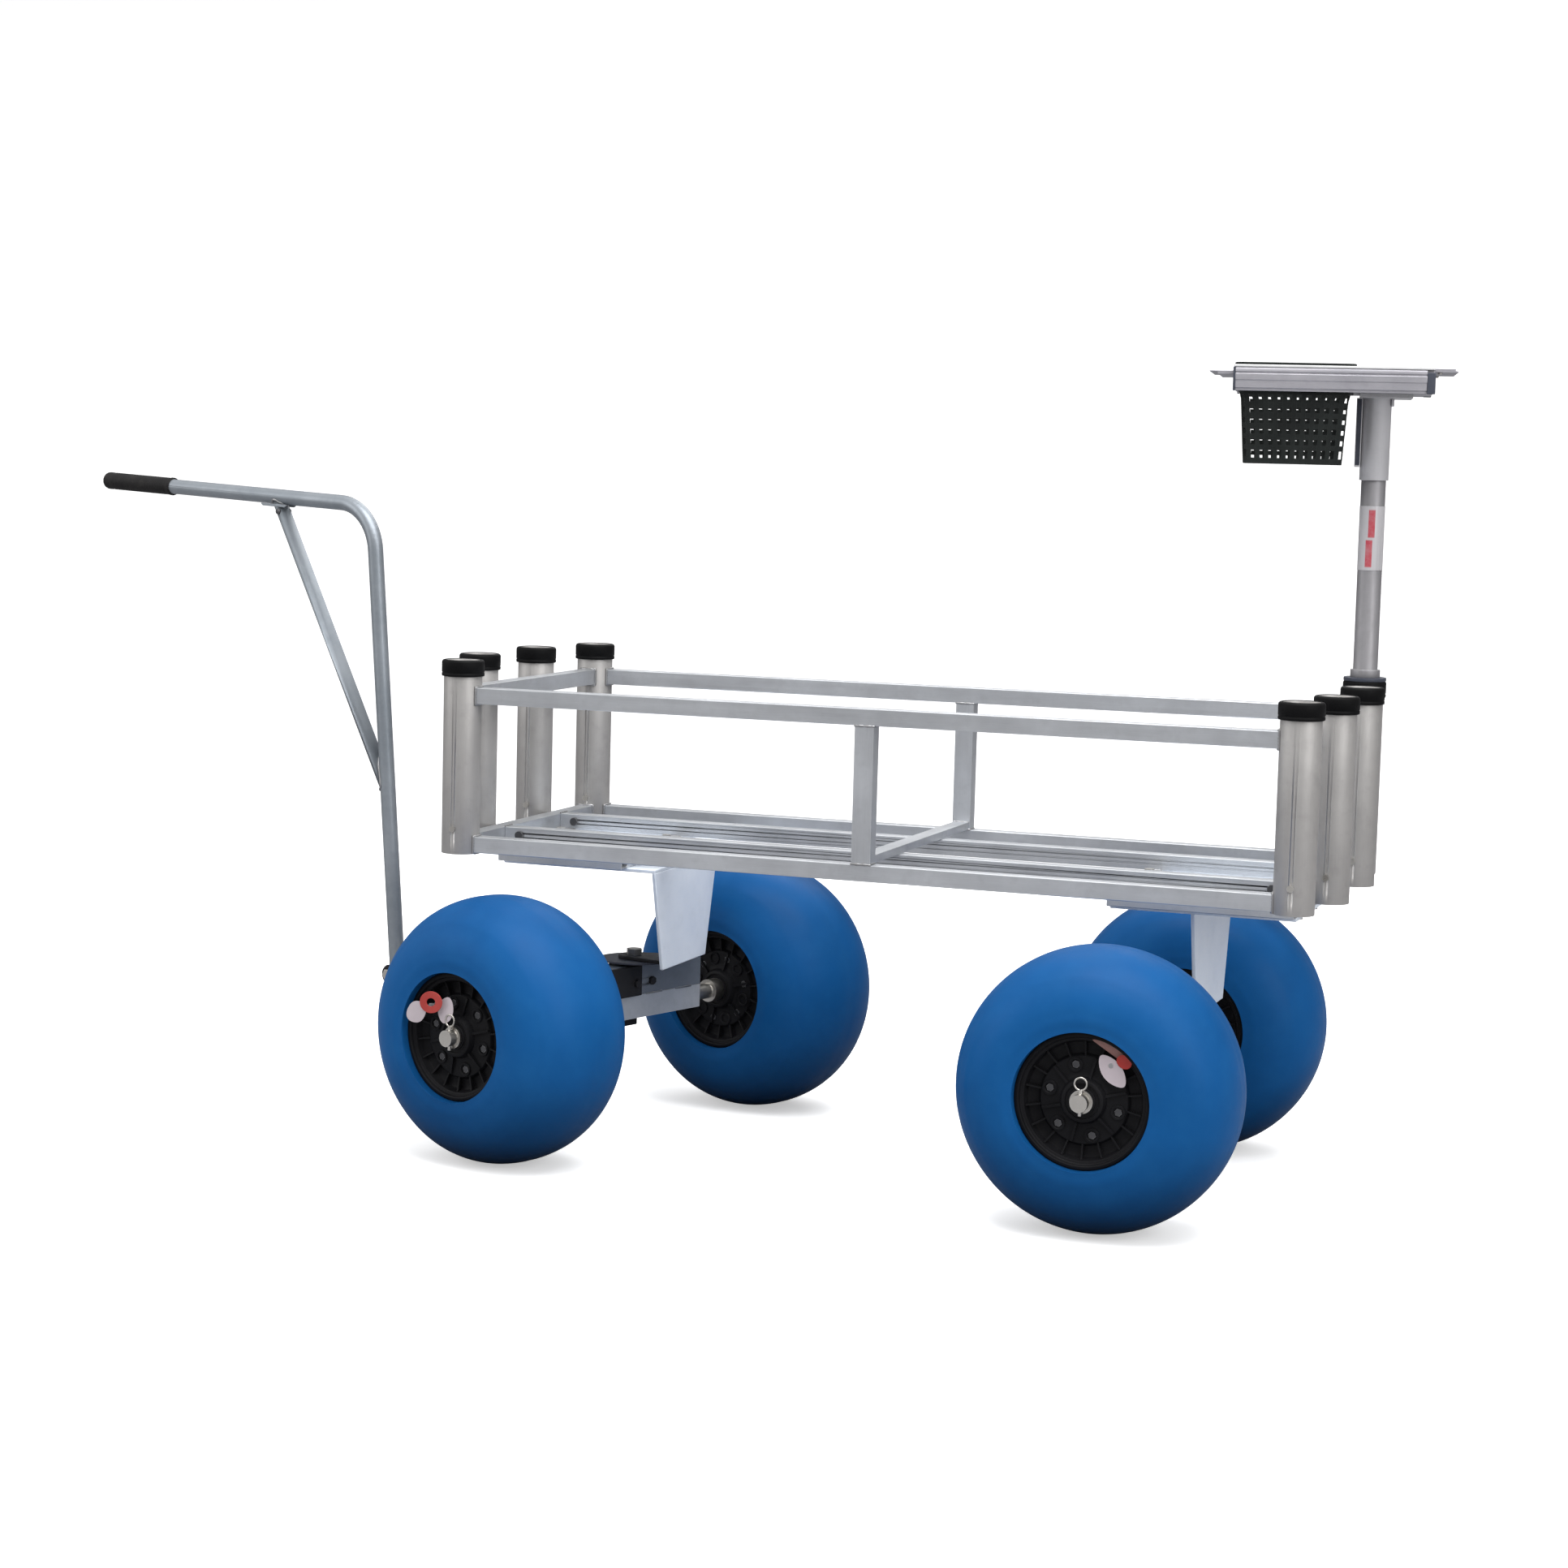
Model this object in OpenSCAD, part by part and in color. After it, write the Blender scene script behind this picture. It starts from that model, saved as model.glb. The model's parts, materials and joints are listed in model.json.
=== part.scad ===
// Four-wheel beach cart: open frame of square aluminium tube with round
// rod holders at both ends, a turntable-steered front axle with a pull
// handle, a rigid rear axle, balloon wheels on black hubs, and a bait
// board with a lift-out basket on a post that swivels in one holder.
// Units: mm. +X is the rear of the cart, -X the pull-handle end,
// +Z up, origin on the ground under the kingpin, which is also the middle of
// the cart's overall box.

/* [Frame] */
// Distance between front and rear corner holder axes
frame_l = 1317; // [1180:1:1500]
// Distance between left and right corner holder axes
frame_w = 522; // [480:1:620]
// Outside size of the square frame tube
rail = 25.4; // [22:0.1:26]
// Height of the lower rail axis above the ground
rail_low_z = 492; // [488:1:500]
// Height of the upper rail axis above the ground
rail_top_z = 726.5; // [690:0.5:735]
// Sideways position of the two deck slats and the middle holders
slat_y = 110; // [90:1:130]
// Outside width of the middle posts along the cart
mid_post = 30; // [22:1:40]

/* [Rod holders] */
// Outside radius of a rod holder tube
hold_r = 30; // [29:0.1:32]
// Bore radius of a rod holder tube
hold_bore = 27; // [26.5:0.1:28]
// Height of the lower end of the holders
hold_z0 = 477; // [470:1:479]
// Height of the upper end of the holders
hold_z1 = 781; // [760:1:820]

/* [Wheels] */
// Outer radius of the balloon tyre
tyre_r = 210; // [200:1:215]
// Half the width of the balloon tyre
tyre_half = 117; // [105:1:118]
// Distance between left and right wheel centre planes
track = 637; // [620:1:660]
// Position of the rear axle along the cart
rear_x = 400; // [390:1:420]
// Position of the kingpin and front axle along the cart
front_x = -466; // [-475:1:-455]
// Angle the front axle is turned to in the modelled stance
steer = 18; // [0:1:25]

/* [Handle] */
// Outside radius of the handle tube
bar_r = 13.35; // [12:0.05:13.5]
// Angle of the handle shaft ahead of upright
shaft_lean = 5.26; // [4:0.02:7]
// Height of the bend corner of the handle
corner_z = 1008; // [950:1:1030]
// Length of the grip arm from the bend corner to its end
arm_len = 703; // [600:1:760]

/* [Bait board] */
// Outside radius of the board post
post_r = 19; // [18:0.1:20]
// Height of the underside of the board frame
board_z = 1228; // [1200:1:1260]
// Length of the board frame along the cart
board_l = 303; // [300:1:320]
// Depth of the board frame across the cart
board_d = 230; // [224:1:240]
// Angle the board is swivelled to on its post
swivel = 10; // [0:1:25]

/* [Hidden] */
$fn = 64;
clr = 0.05;
hx = frame_l/2;
hy = frame_w/2;
hr = rail/2;
wall = 2;
axle_r = 12.7;
hub_r = 100;
hub_face = 105;
mid_off = hr + hold_r;
rear_cross_x = hx - 20;
low_bot = rail_low_z - hr;
low_top = rail_low_z + hr;
sub_z0 = low_bot - rail;
flange_z = 287;
chan_top = 279;
pin_z = 517;
step_z = 521;
shaft_t0 = 542.57;
shaft_z0 = 195;
corner_t = shaft_t0 + (corner_z - shaft_z0)*tan(shaft_lean);
arm_up = 2.2;
bend_r = 88;
turn = 90 - shaft_lean - arm_up;
tang = bend_r*tan(turn/2);
brace_r = 12.4;
holder_pts = [[-hx, -hy], [-hx - mid_off, -slat_y], [-hx - mid_off, slat_y], [-hx, hy],
              [hx, -hy], [rear_cross_x + mid_off, -slat_y], [rear_cross_x + mid_off, slat_y], [hx, hy]];
board_x = -67.5;
board_y = 0;
brim = board_z + 40;
open_l = 177;

// ---- helpers ----

// puts the origin on the ground under the kingpin, which is also the middle
// of the whole cart's box
module home() translate([-front_x, 0, 0]) children();

// square tube along X, centred on Y and Z
module tube_x(l, s = rail, w = wall) {
  difference() {
    translate([-l/2, -s/2, -s/2]) cube([l, s, s]);
    translate([-l/2 - 1, -s/2 + w, -s/2 + w]) cube([l + 2, s - 2*w, s - 2*w]);
  }
}
module tube_y(l, s = rail, w = wall) { rotate([0, 0, 90]) tube_x(l, s, w); }
module tube_z(l, sx, sy, w = wall) {
  difference() {
    translate([-sx/2, -sy/2, 0]) cube([sx, sy, l]);
    translate([-sx/2 + w, -sy/2 + w, -1]) cube([sx - 2*w, sy - 2*w, l + 2]);
  }
}
module ring(ro, ri, h) {
  difference() { cylinder(h = h, r = ro); translate([0, 0, -1]) cylinder(h = h + 2, r = ri); }
}
module rod_y(r, l) { translate([0, -l/2, 0]) rotate([-90, 0, 0]) cylinder(h = l, r = r); }
module all_holders(r) {
  for (p = holder_pts) translate([p[0], p[1], hold_z0 - 5]) cylinder(h = hold_z1 - hold_z0 + 10, r = r);
}

// ---- frame ----

module side_rails() color([0.74, 0.75, 0.77]) home()
  difference() {
    for (sy = [-1, 1]) for (z = [rail_low_z, rail_top_z])
      translate([0, sy*hy, z]) tube_x(2*hx);
    for (p = [holder_pts[0], holder_pts[3], holder_pts[4], holder_pts[7]])
      translate([p[0], p[1], hold_z0 - 5]) cylinder(h = 320, r = hold_r);
  }

module end_rails() color([0.74, 0.75, 0.77]) home()
  difference() {
    for (z = [rail_low_z, rail_top_z]) {
      translate([-hx, 0, z]) tube_y(2*hy);
      translate([rear_cross_x, 0, z]) tube_y(2*(hy - hr));
    }
    for (p = [holder_pts[0], holder_pts[3], holder_pts[4], holder_pts[7]])
      translate([p[0], p[1], hold_z0 - 5]) cylinder(h = 320, r = hold_r);
  }

module deck_slats() color([0.78, 0.79, 0.81]) home()
  difference() {
    for (sy = [-1, 1]) translate([(rear_cross_x - hx)/2, sy*slat_y, rail_low_z]) tube_x(rear_cross_x + hx - 2*hr);
    for (sy = [-1, 1]) for (x = [-hx + 38.5, rear_cross_x - 38.5])
      translate([x, sy*slat_y, rail_low_z]) rod_y(3.2, rail + 2);
  }

// cross bolts near the slat ends
module slat_bolts() color([0.25, 0.25, 0.27]) home()
  for (sy = [-1, 1]) for (x = [-hx + 38.5, rear_cross_x - 38.5])
    translate([x, sy*slat_y, rail_low_z]) {
      rod_y(3.2, rail);
      translate([0, -hr - 1.75, 0]) rod_y(7, 3.5);
      translate([0, hr + 5, 0]) rotate([90, 0, 0]) cylinder(h = 5, r = 6.4, $fn = 6);
    }

module mid_posts() color([0.74, 0.75, 0.77]) home()
  for (sy = [-1, 1]) translate([10, sy*hy, low_top]) tube_z(rail_top_z - rail_low_z - rail, mid_post, rail);

module mid_bar() color([0.76, 0.77, 0.79]) home()
  translate([10 - hr, -(hy - hr), low_top]) difference() {
    cube([rail, 2*(hy - hr), 12.7]);
    translate([2, -1, 2]) cube([rail - 4, 2*(hy - hr) + 2, 8.7]);
  }

module holder(p) {
  difference() {
    translate([p[0], p[1], hold_z0]) cylinder(h = hold_z1 - hold_z0, r = hold_r);
    translate([p[0], p[1], step_z]) cylinder(h = hold_z1 - step_z + 1, r = hold_bore);
    translate([p[0], p[1], hold_z0 - 1]) cylinder(h = step_z - hold_z0 + 2, r = hold_bore - 1.5);
    translate([p[0], p[1], pin_z]) rod_y(3, 2*hold_r + 10);
  }
}
module holders_front() color([0.70, 0.71, 0.73]) home() for (i = [0:3]) holder(holder_pts[i]);
module holders_rear() color([0.70, 0.71, 0.73]) home() for (i = [4:7]) holder(holder_pts[i]);

// black rubber collars round the mouth of each holder
module cap(p) translate([p[0], p[1], hold_z1 - 25]) ring(hold_r + 3.5, hold_r, 25);
module caps_front() color([0.06, 0.06, 0.07]) home() for (i = [0:3]) cap(holder_pts[i]);
module caps_rear() color([0.06, 0.06, 0.07]) home() for (i = [4:7]) cap(holder_pts[i]);

// cross pins that carry the rod butts
module stop_pins() color([0.6, 0.6, 0.62]) home()
  for (p = holder_pts) translate([p[0], p[1], pin_z]) {
    rod_y(3, 2*hold_r + 2);
    for (s = [-1, 1]) translate([0, s*(hold_r + 1.5), 0]) rod_y(5, 3);
  }

// ---- bolsters and pedestals ----

// ladder of square tube under the slats
module subframe(x0, x1) difference() {
  union() {
    for (sy = [-1, 1]) translate([(x0 + x1)/2, sy*sub_y, sub_z0 + hr]) tube_x(x1 - x0);
    for (x = [x0 + hr, x1 - hr]) translate([x, 0, sub_z0 + hr]) tube_y(2*(sub_y - hr));
  }
  for (x = [x0 + hr, x1 - hr]) for (y = [-60, 60])
    translate([x, y, sub_z0 - 1]) cylinder(h = rail + 2, r = 4.2);
}
sub_y = 146;
sub_f0 = -hx + 18;
sub_f1 = front_x + 41;
sub_r0 = rear_x - 40;
sub_r1 = hx - 18;
module subframe_front() color([0.72, 0.73, 0.75]) home() subframe(sub_f0, sub_f1);
module subframe_rear() color([0.72, 0.73, 0.75]) home() subframe(sub_r0, sub_r1);

// pressed bracket: top flange under the deck, tapered web, lower flange
// over the axle, and one gusset in the angle between web and lower flange
module pedestal(ax, t0, t1, x0, x1) {
  wx = ax + 83;
  difference() {
    union() {
      translate([t0, -136, sub_z0 - 6]) cube([t1 - t0, 272, 6]);
      translate([wx, 0, 0]) rotate([90, 0, 90]) linear_extrude(height = 6)
        polygon([[-93, flange_z], [93, flange_z], [136, sub_z0 - 6], [-136, sub_z0 - 6]]);
      translate([ax - 45, -60, flange_z]) cube([128, 120, 6]);
      translate([0, 3, 0]) rotate([90, 0, 0]) linear_extrude(height = 6)
        polygon([[wx, flange_z + 6], [wx - 34, flange_z + 6], [wx - 34, flange_z + 12], [wx, flange_z + 90]]);
    }
    for (x = [x0 + hr, x1 - hr]) for (y = [-60, 60])
      translate([x, y, sub_z0 - 7]) cylinder(h = 8, r = 4.2);
  }
}
module pedestal_front() color([0.80, 0.82, 0.85]) home() difference() {
  pedestal(front_x, sub_f0, front_x + 89, sub_f0, sub_f1);
  translate([front_x, 0, flange_z - 1]) cylinder(h = 8, r = 8 + clr);
}
module pedestal_rear() color([0.80, 0.82, 0.85]) home() difference() {
  pedestal(rear_x, sub_r0, sub_r1, sub_r0, sub_r1);
  for (y = [-45, 45]) translate([rear_x, y, flange_z - 1]) cylinder(h = 8, r = 5.2);
}

module pedestal_bolts() color([0.55, 0.55, 0.57]) home()
  for (x = [sub_f0 + hr, sub_f1 - hr, sub_r0 + hr, sub_r1 - hr]) for (y = [-60, 60])
    translate([x, y, sub_z0]) {
      translate([0, 0, -6]) cylinder(h = rail + 6, r = 4.2);
      translate([0, 0, -12]) cylinder(h = 6, r = 8, $fn = 6);
      // the rearmost pair ends inside the subframe, under the rear end rail
      if (x < sub_r1 - hr - 1) translate([0, 0, rail]) cylinder(h = 7, r = 8, $fn = 6);
    }

// ---- axles, drawn with the axle along Y through the local origin ----

// inverted channel on top of the square beam
module channel(top) difference() {
  translate([-19.05, -150, 229.05]) cube([38.1, 300, top - 229.05]);
  translate([-15.05, -151, 228]) cube([30.1, 302, top - 5 - 228]);
}
module beam() translate([0, 0, 210]) tube_y(300, 38.1, 3);
module plugs()
  for (s = [-1, 1]) translate([0, s*135, 210]) difference() {
    translate([-16.05, -15, -16.05]) cube([32.1, 30, 32.1]);
    rod_y(axle_r, 40);
  }
// through axle with collars, end washers and ring pins
module axle() {
  half = track/2;
  translate([0, 0, 210]) {
    rod_y(axle_r, 2*(half + 124));
    for (s = [-1, 1]) {
      translate([0, s*(half - hub_face - 10.1), 0]) rod_y(19, 22);
      translate([0, s*(half + hub_face + 2.1), 0]) rod_y(17, 4);
      translate([0, s*(half + 114), 0]) {
        translate([0, 0, -19]) cylinder(h = 38, r = 3);
        translate([0, 0, 19 + 8]) rotate([90, 0, 0]) rotate_extrude() translate([9, 0]) circle(r = 1.4, $fn = 24);
      }
    }
  }
}

module rear_channel() color([0.30, 0.31, 0.33]) home() translate([rear_x, 0, 0]) difference() {
  channel(flange_z);
  for (y = [-45, 45]) translate([0, y, 270]) cylinder(h = 30, r = 5.2);
}
module rear_beam() color([0.76, 0.77, 0.79]) home() translate([rear_x, 0, 0]) beam();
module rear_plugs() color([0.65, 0.66, 0.68]) home() translate([rear_x, 0, 0]) plugs();
module rear_axle() color([0.80, 0.80, 0.82]) home() translate([rear_x, 0, 0]) axle();
module rear_bolts() color([0.55, 0.55, 0.57]) home()
  translate([rear_x, 0, 0]) for (y = [-45, 45]) translate([0, y, 0]) {
    translate([0, 0, flange_z - 13]) cylinder(h = 26, r = 5.2);
    translate([0, 0, flange_z + 6]) cylinder(h = 7, r = 9, $fn = 6);
    translate([0, 0, flange_z - 13]) cylinder(h = 8, r = 9, $fn = 6);
  }

module kingpin() color([0.55, 0.55, 0.57]) home() translate([front_x, 0, 0]) {
  translate([0, 0, 258]) cylinder(h = 42, r = 8);
  translate([0, 0, flange_z + 6]) cylinder(h = 10, r = 13.5, $fn = 6);
  translate([0, 0, 260]) cylinder(h = chan_top - 5 - 260 - 0.05, r = 13.5, $fn = 6);
}
module thrust_washer() color([0.08, 0.08, 0.09]) home() translate([front_x, 0, chan_top + 5 + 0.02]) ring(58, 8 + clr, flange_z - chan_top - 5 - 0.04);

// everything from here to the grip turns with the front axle
module truck() translate([front_x, 0, 0]) rotate([0, 0, -steer]) children();

module turn_plate() color([0.15, 0.15, 0.16]) home() truck() translate([0, 0, chan_top]) ring(60, 8 + clr, 5);
module front_channel() color([0.30, 0.31, 0.33]) home() truck() difference() {
  channel(chan_top);
  translate([0, 0, 260]) cylinder(h = 30, r = 8 + clr);
  for (y = clamp_y) translate([-40, y, 250]) rotate([0, 90, 0]) cylinder(h = 80, r = 4.2);
}
clamp_y = [-78, -22, 22];
module front_beam() color([0.76, 0.77, 0.79]) home() truck() beam();
module front_plugs() color([0.65, 0.66, 0.68]) home() truck() plugs();
module front_axle() color([0.80, 0.80, 0.82]) home() truck() axle();

// black plates either side of the channel with their through bolts; the
// front one reaches down to carry the drawbar
module clamp_plates() color([0.09, 0.09, 0.10]) home() truck() {
  translate([19.05, -92, 229.05]) cube([6, 84, 49.95]);
  translate([-25.05, -92, 170]) cube([6, 126, 109]);
  for (y = clamp_y) {
    translate([-25, y, 250]) rotate([0, 90, 0]) cylinder(h = y > 0 ? 45 : 50, r = 4.2);
    translate([y > 0 ? 19.05 : 25.05, y, 250]) rotate([0, 90, 0]) cylinder(h = 6, r = 7.5, $fn = 6);
    translate([-31.05, y, 250]) rotate([0, 90, 0]) cylinder(h = 6, r = 7.5, $fn = 6);
  }
}

// drawbar tube with a clevis at its front end
module drawbar() color([0.09, 0.09, 0.10]) home() truck() difference() {
  union() {
    translate([-(512 + 25.05)/2, 0, shaft_z0]) tube_x(512 - 25.05, 38, 3);
    for (s = [-1, 1]) translate([-shaft_t0, s*17.8, shaft_z0]) {
      rod_y(17, 8.4);
      translate([0, -4.2, -17]) cube([43, 8.4, 34]);
    }
  }
  translate([-shaft_t0, 0, shaft_z0]) rod_y(6, 60);
}

module pivot_bolt() color([0.62, 0.62, 0.64]) home() truck() translate([-shaft_t0, 0, shaft_z0]) {
  rod_y(6, 50);
  for (s = [-1, 1]) translate([0, s*25, 0]) rotate([90, 0, 0]) translate([0, 0, -3]) cylinder(h = 6, r = 10, $fn = 6);
}

// ---- handle, drawn in the plane y = 0 with the pull direction -X ----

module shaft_solid(r, l) translate([-shaft_t0, 0, shaft_z0]) rotate([0, -shaft_lean, 0]) cylinder(h = l, r = r);
shaft_len = (corner_z - shaft_z0)/cos(shaft_lean);
module arm_frame() translate([-corner_t, 0, corner_z]) rotate([0, -(90 - arm_up), 0]) children();

module handle_tube() color([0.66, 0.70, 0.76]) home() truck() difference() {
  union() {
    translate([-shaft_t0, 0, shaft_z0]) rotate([0, -shaft_lean, 0]) {
      translate([0, 0, -19]) cylinder(h = shaft_len - tang + 19.05, r = bar_r);
      translate([0, 0, shaft_len - tang]) translate([-bend_r, 0, 0]) rotate([90, 0, 0])
        rotate_extrude(angle = turn) translate([bend_r, 0]) circle(r = bar_r);
    }
    arm_frame() translate([0, 0, tang - 0.05]) cylinder(h = arm_len - tang - 5.95, r = bar_r);
  }
  translate([-shaft_t0, 0, shaft_z0]) rod_y(6 + clr, 60);
}

brace_a = [-(shaft_t0 + (515 - shaft_z0)*tan(shaft_lean)), 515];
brace_b = [-858, corner_z + (858 - corner_t)*tan(arm_up)];
brace_len = norm(brace_b - brace_a);
brace_ang = atan2(-(brace_b[0] - brace_a[0]), brace_b[1] - brace_a[1]);
module handle_brace() color([0.66, 0.70, 0.76]) home() truck() difference() {
  translate([brace_a[0], 0, brace_a[1]]) rotate([0, -brace_ang, 0]) cylinder(h = brace_len, r = brace_r);
  shaft_solid(bar_r, shaft_len);
  arm_frame() cylinder(h = arm_len - 6, r = bar_r);
}

module handle_grip() color([0.07, 0.07, 0.08]) home() truck() arm_frame() difference() {
  union() {
    translate([0, 0, arm_len - 184]) cylinder(h = 180, r = 15.6);
    translate([0, 0, arm_len - 4]) cylinder(h = 4, r1 = 15.6, r2 = 12.6);
  }
  translate([0, 0, 10]) cylinder(h = arm_len - 16, r = bar_r);
}

// ---- wheel, drawn with its axle along Z and its outer face at +Z ----

// balloon section: superellipse ring round the hub, open on the inside
function sup(a, rx, ry, n) = [rx*sign(cos(a))*pow(abs(cos(a)), 2/n), ry*sign(sin(a))*pow(abs(sin(a)), 2/n)];
tyre_mid = tyre_r - 99;
// one closed wall: balloon outside, beads that grip the hub rims, hollow inside
module tyre_shape() rotate_extrude() polygon(concat(
  [for (a = [-90:7.5:90]) sup(a, 99, tyre_half, 2.22) + [tyre_mid, 0]],
  [[hub_r, tyre_half - 0.4], [hub_r, 97], [92, 97], [86, 84], [86, 80], [112, 80]],
  [for (a = [75:-15:-75]) sup(a, 94, tyre_half - 5, 2.22) + [tyre_mid, 0]],
  [[112, -80], [86, -80], [86, -84], [92, -97], [hub_r, -97], [hub_r, -(tyre_half - 0.4)]]));
module hub_half() difference() {
  union() {
    rotate_extrude() polygon([[17, 0], [34, 0], [34, 78], [82, 78], [82, 0], [86, 0], [86, 84],
      [92, 97], [hub_r, 97], [hub_r, hub_face], [90, hub_face], [84, 98], [80, 88], [40, 84], [31, hub_face - 1], [17, hub_face - 1]]);
    for (i = [0:5]) rotate([0, 0, 60*i + 15]) translate([33, -2, 80]) cube([50, 4, 14]);
    for (i = [0:5]) rotate([0, 0, 60*i + 45]) translate([52, 0, 0]) cylinder(h = 87, r = 9);
    ring(18, axle_r + clr, hub_face - 1);
  }
  for (i = [0:5]) rotate([0, 0, 60*i + 45]) translate([52, 0, -1]) cylinder(h = 120, r = 3.2);
}
module hub_bolt_set() for (i = [0:5]) rotate([0, 0, 60*i + 45]) translate([52, 0, 0]) {
  translate([0, 0, -90]) cylinder(h = 180, r = 3.2);
  translate([0, 0, 87]) cylinder(h = 5, r = 6, $fn = 6);
  translate([0, 0, -92]) cylinder(h = 5, r = 6, $fn = 6);
}
// filler valve in the dish at angle a, with a plain care tag lying flat on it
module valve(a, tag) rotate([0, 0, a]) translate([68, 0, 87.26]) {
  cylinder(h = 10, r = 4.5);
  translate([0, 0, 10]) cylinder(h = 8, r = 3);
  intersection() {
    rotate([0, 0, tag[3] - a]) translate([-tag[0]/2, -tag[1]/2, 10]) cube([tag[0], tag[1], tag[2]]);
    translate([-68, 0, 5]) cylinder(h = 10, r = 83);
  }
}
// side: -1 puts the outer face at -Y, 1 puts it at +Y
module place(side) translate([0, side*track/2, 210]) rotate([side > 0 ? -90 : 90, 0, 0]) children();
module at_rear() translate([rear_x, 0, 0]) children();

blue = [0.10, 0.36, 0.70];
hubc = [0.07, 0.07, 0.08];
module tyre_fn() color(blue) home() truck() place(-1) tyre_shape();
module hub_out_fn() color(hubc) home() truck() place(-1) hub_half();
module hub_in_fn() color(hubc) home() truck() place(-1) mirror([0, 0, 1]) hub_half();
module hub_bolts_fn() color([0.2, 0.2, 0.21]) home() truck() place(-1) hub_bolt_set();
module valve_fn() color([0.85, 0.82, 0.80]) home() truck() place(-1) valve(142, [44, 26, 1.2, 10]);
module tyre_ff() color(blue) home() truck() place(1) tyre_shape();
module hub_out_ff() color(hubc) home() truck() place(1) hub_half();
module hub_in_ff() color(hubc) home() truck() place(1) mirror([0, 0, 1]) hub_half();
module hub_bolts_ff() color([0.2, 0.2, 0.21]) home() truck() place(1) hub_bolt_set();
module tyre_rn() color(blue) home() at_rear() place(-1) tyre_shape();
module hub_out_rn() color(hubc) home() at_rear() place(-1) hub_half();
module hub_in_rn() color(hubc) home() at_rear() place(-1) mirror([0, 0, 1]) hub_half();
module hub_bolts_rn() color([0.2, 0.2, 0.21]) home() at_rear() place(-1) hub_bolt_set();
module valve_rn() color([0.85, 0.82, 0.80]) home() at_rear() place(-1) valve(54, [20, 44, 1.2, 0]);
module tyre_rf() color(blue) home() at_rear() place(1) tyre_shape();
module hub_out_rf() color(hubc) home() at_rear() place(1) hub_half();
module hub_in_rf() color(hubc) home() at_rear() place(1) mirror([0, 0, 1]) hub_half();
module hub_bolts_rf() color([0.2, 0.2, 0.21]) home() at_rear() place(1) hub_bolt_set();

// ---- bait board on its post in the rear far-side holder ----

module post_collar() color([0.16, 0.17, 0.19]) home() translate([hx, hy, 0]) {
  translate([0, 0, 700]) ring(hold_bore - clr, post_r + clr, hold_z1 - 700);
  translate([0, 0, hold_z1 + 0.05]) ring(hold_r + 3, post_r + clr, 6);
  translate([0, 0, hold_z1 - 0.5]) ring(hold_bore - clr, post_r + clr, 1);
}
module board_post() color([0.72, 0.73, 0.76]) home() translate([hx, hy, 0]) {
  translate([0, 0, 524]) ring(post_r, post_r - 3, board_z - 524 - 6.05);
  translate([0, 0, hold_z1 + 6.1]) ring(post_r + 4, post_r, 12);
}
module post_label() color([0.80, 0.25, 0.22]) home() translate([hx, hy, 955]) ring(post_r + 0.5, post_r, 100);

// everything on top of the post swivels about it
module board_turn() translate([hx, hy, 0]) rotate([0, 0, swivel]) children();

// socket sleeve that turns on the post top, its head plate and a stiffening fin
module board_socket() color([0.62, 0.64, 0.68]) home() board_turn() {
  translate([0, 0, 1095]) ring(post_r + 3.5, post_r + clr, board_z - 1095);
  translate([-27, -70, board_z - 6]) difference() {
    cube([80, 140, 6]);
    translate([27, 70, -1]) cylinder(h = 8, r = post_r + 3);
  }
  translate([0, 0, board_z - 6]) cylinder(h = 6, r = post_r + 3.5);
  translate([-post_r - 12, -20, 1115]) cube([9, 40, board_z - 6 - 1115]);
}

// rectangular rail frame with a crossbar beside the basket opening,
// dark end caps, and a thin tab at each end
module board_frame() color([0.78, 0.78, 0.80]) home() board_turn() translate([board_x, board_y, board_z]) {
  difference() {
    translate([-board_l/2, -board_d/2, 0]) cube([board_l, board_d, 36]);
    translate([-board_l/2 + 5, -board_d/2 + 8, -1]) cube([open_l, board_d - 16, 40]);
    translate([-board_l/2 + open_l + 20, -board_d/2 + 8, -1]) cube([board_l - open_l - 32, board_d - 16, 40]);
  }
  translate([-board_l/2 + open_l + 16, -70, 0]) cube([board_l - open_l - 26, 140, 3]);
  translate([-board_l/2 - 37, -board_d/2 + 10, 25]) cube([37, board_d - 20, 6]);
  translate([board_l/2, -board_d/2 + 10, 33]) cube([34.3, board_d - 20, 6]);
}
module cutting_board() color([0.90, 0.90, 0.88]) home() board_turn() translate([board_x, board_y, board_z + 36]) difference() {
  translate([-board_l/2, -board_d/2, 0]) cube([board_l, board_d, 4]);
  translate([-board_l/2 + 5, -board_d/2 + 8, -1]) cube([open_l, board_d - 16, 6]);
}

// open-grid basket hanging by its rim in the board opening
bas_l = open_l - 3;
bas_d = board_d - 20;
module basket() color([0.06, 0.06, 0.07]) home() board_turn() translate([board_x - board_l/2 + 5 + open_l/2, board_y, board_z - 112]) difference() {
  union() {
    translate([-bas_l/2, -bas_d/2, 0]) cube([bas_l, bas_d, 152.1]);
    translate([-bas_l/2 - 5.5, -bas_d/2 - 7, 152.05]) cube([bas_l + 11, bas_d + 14, 3.95]);
  }
  translate([-bas_l/2 + 3, -bas_d/2 + 3, 3]) cube([bas_l - 6, bas_d - 6, 160]);
  for (i = [0:6]) for (k = [0:4])
    translate([-bas_l/2 + 17.5 + i*20.5, -bas_d, 8 + k*20.5]) cube([15, 2*bas_d, 15]);
  for (j = [0:8]) for (k = [0:4])
    translate([-bas_l, -bas_d/2 + 14 + j*21, 8 + k*20.5]) cube([2*bas_l, 15, 15]);
  for (i = [0:6]) for (j = [0:8])
    translate([-bas_l/2 + 17.5 + i*20.5, -bas_d/2 + 14 + j*21, -1]) cube([15, 15, 6]);
}

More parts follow.
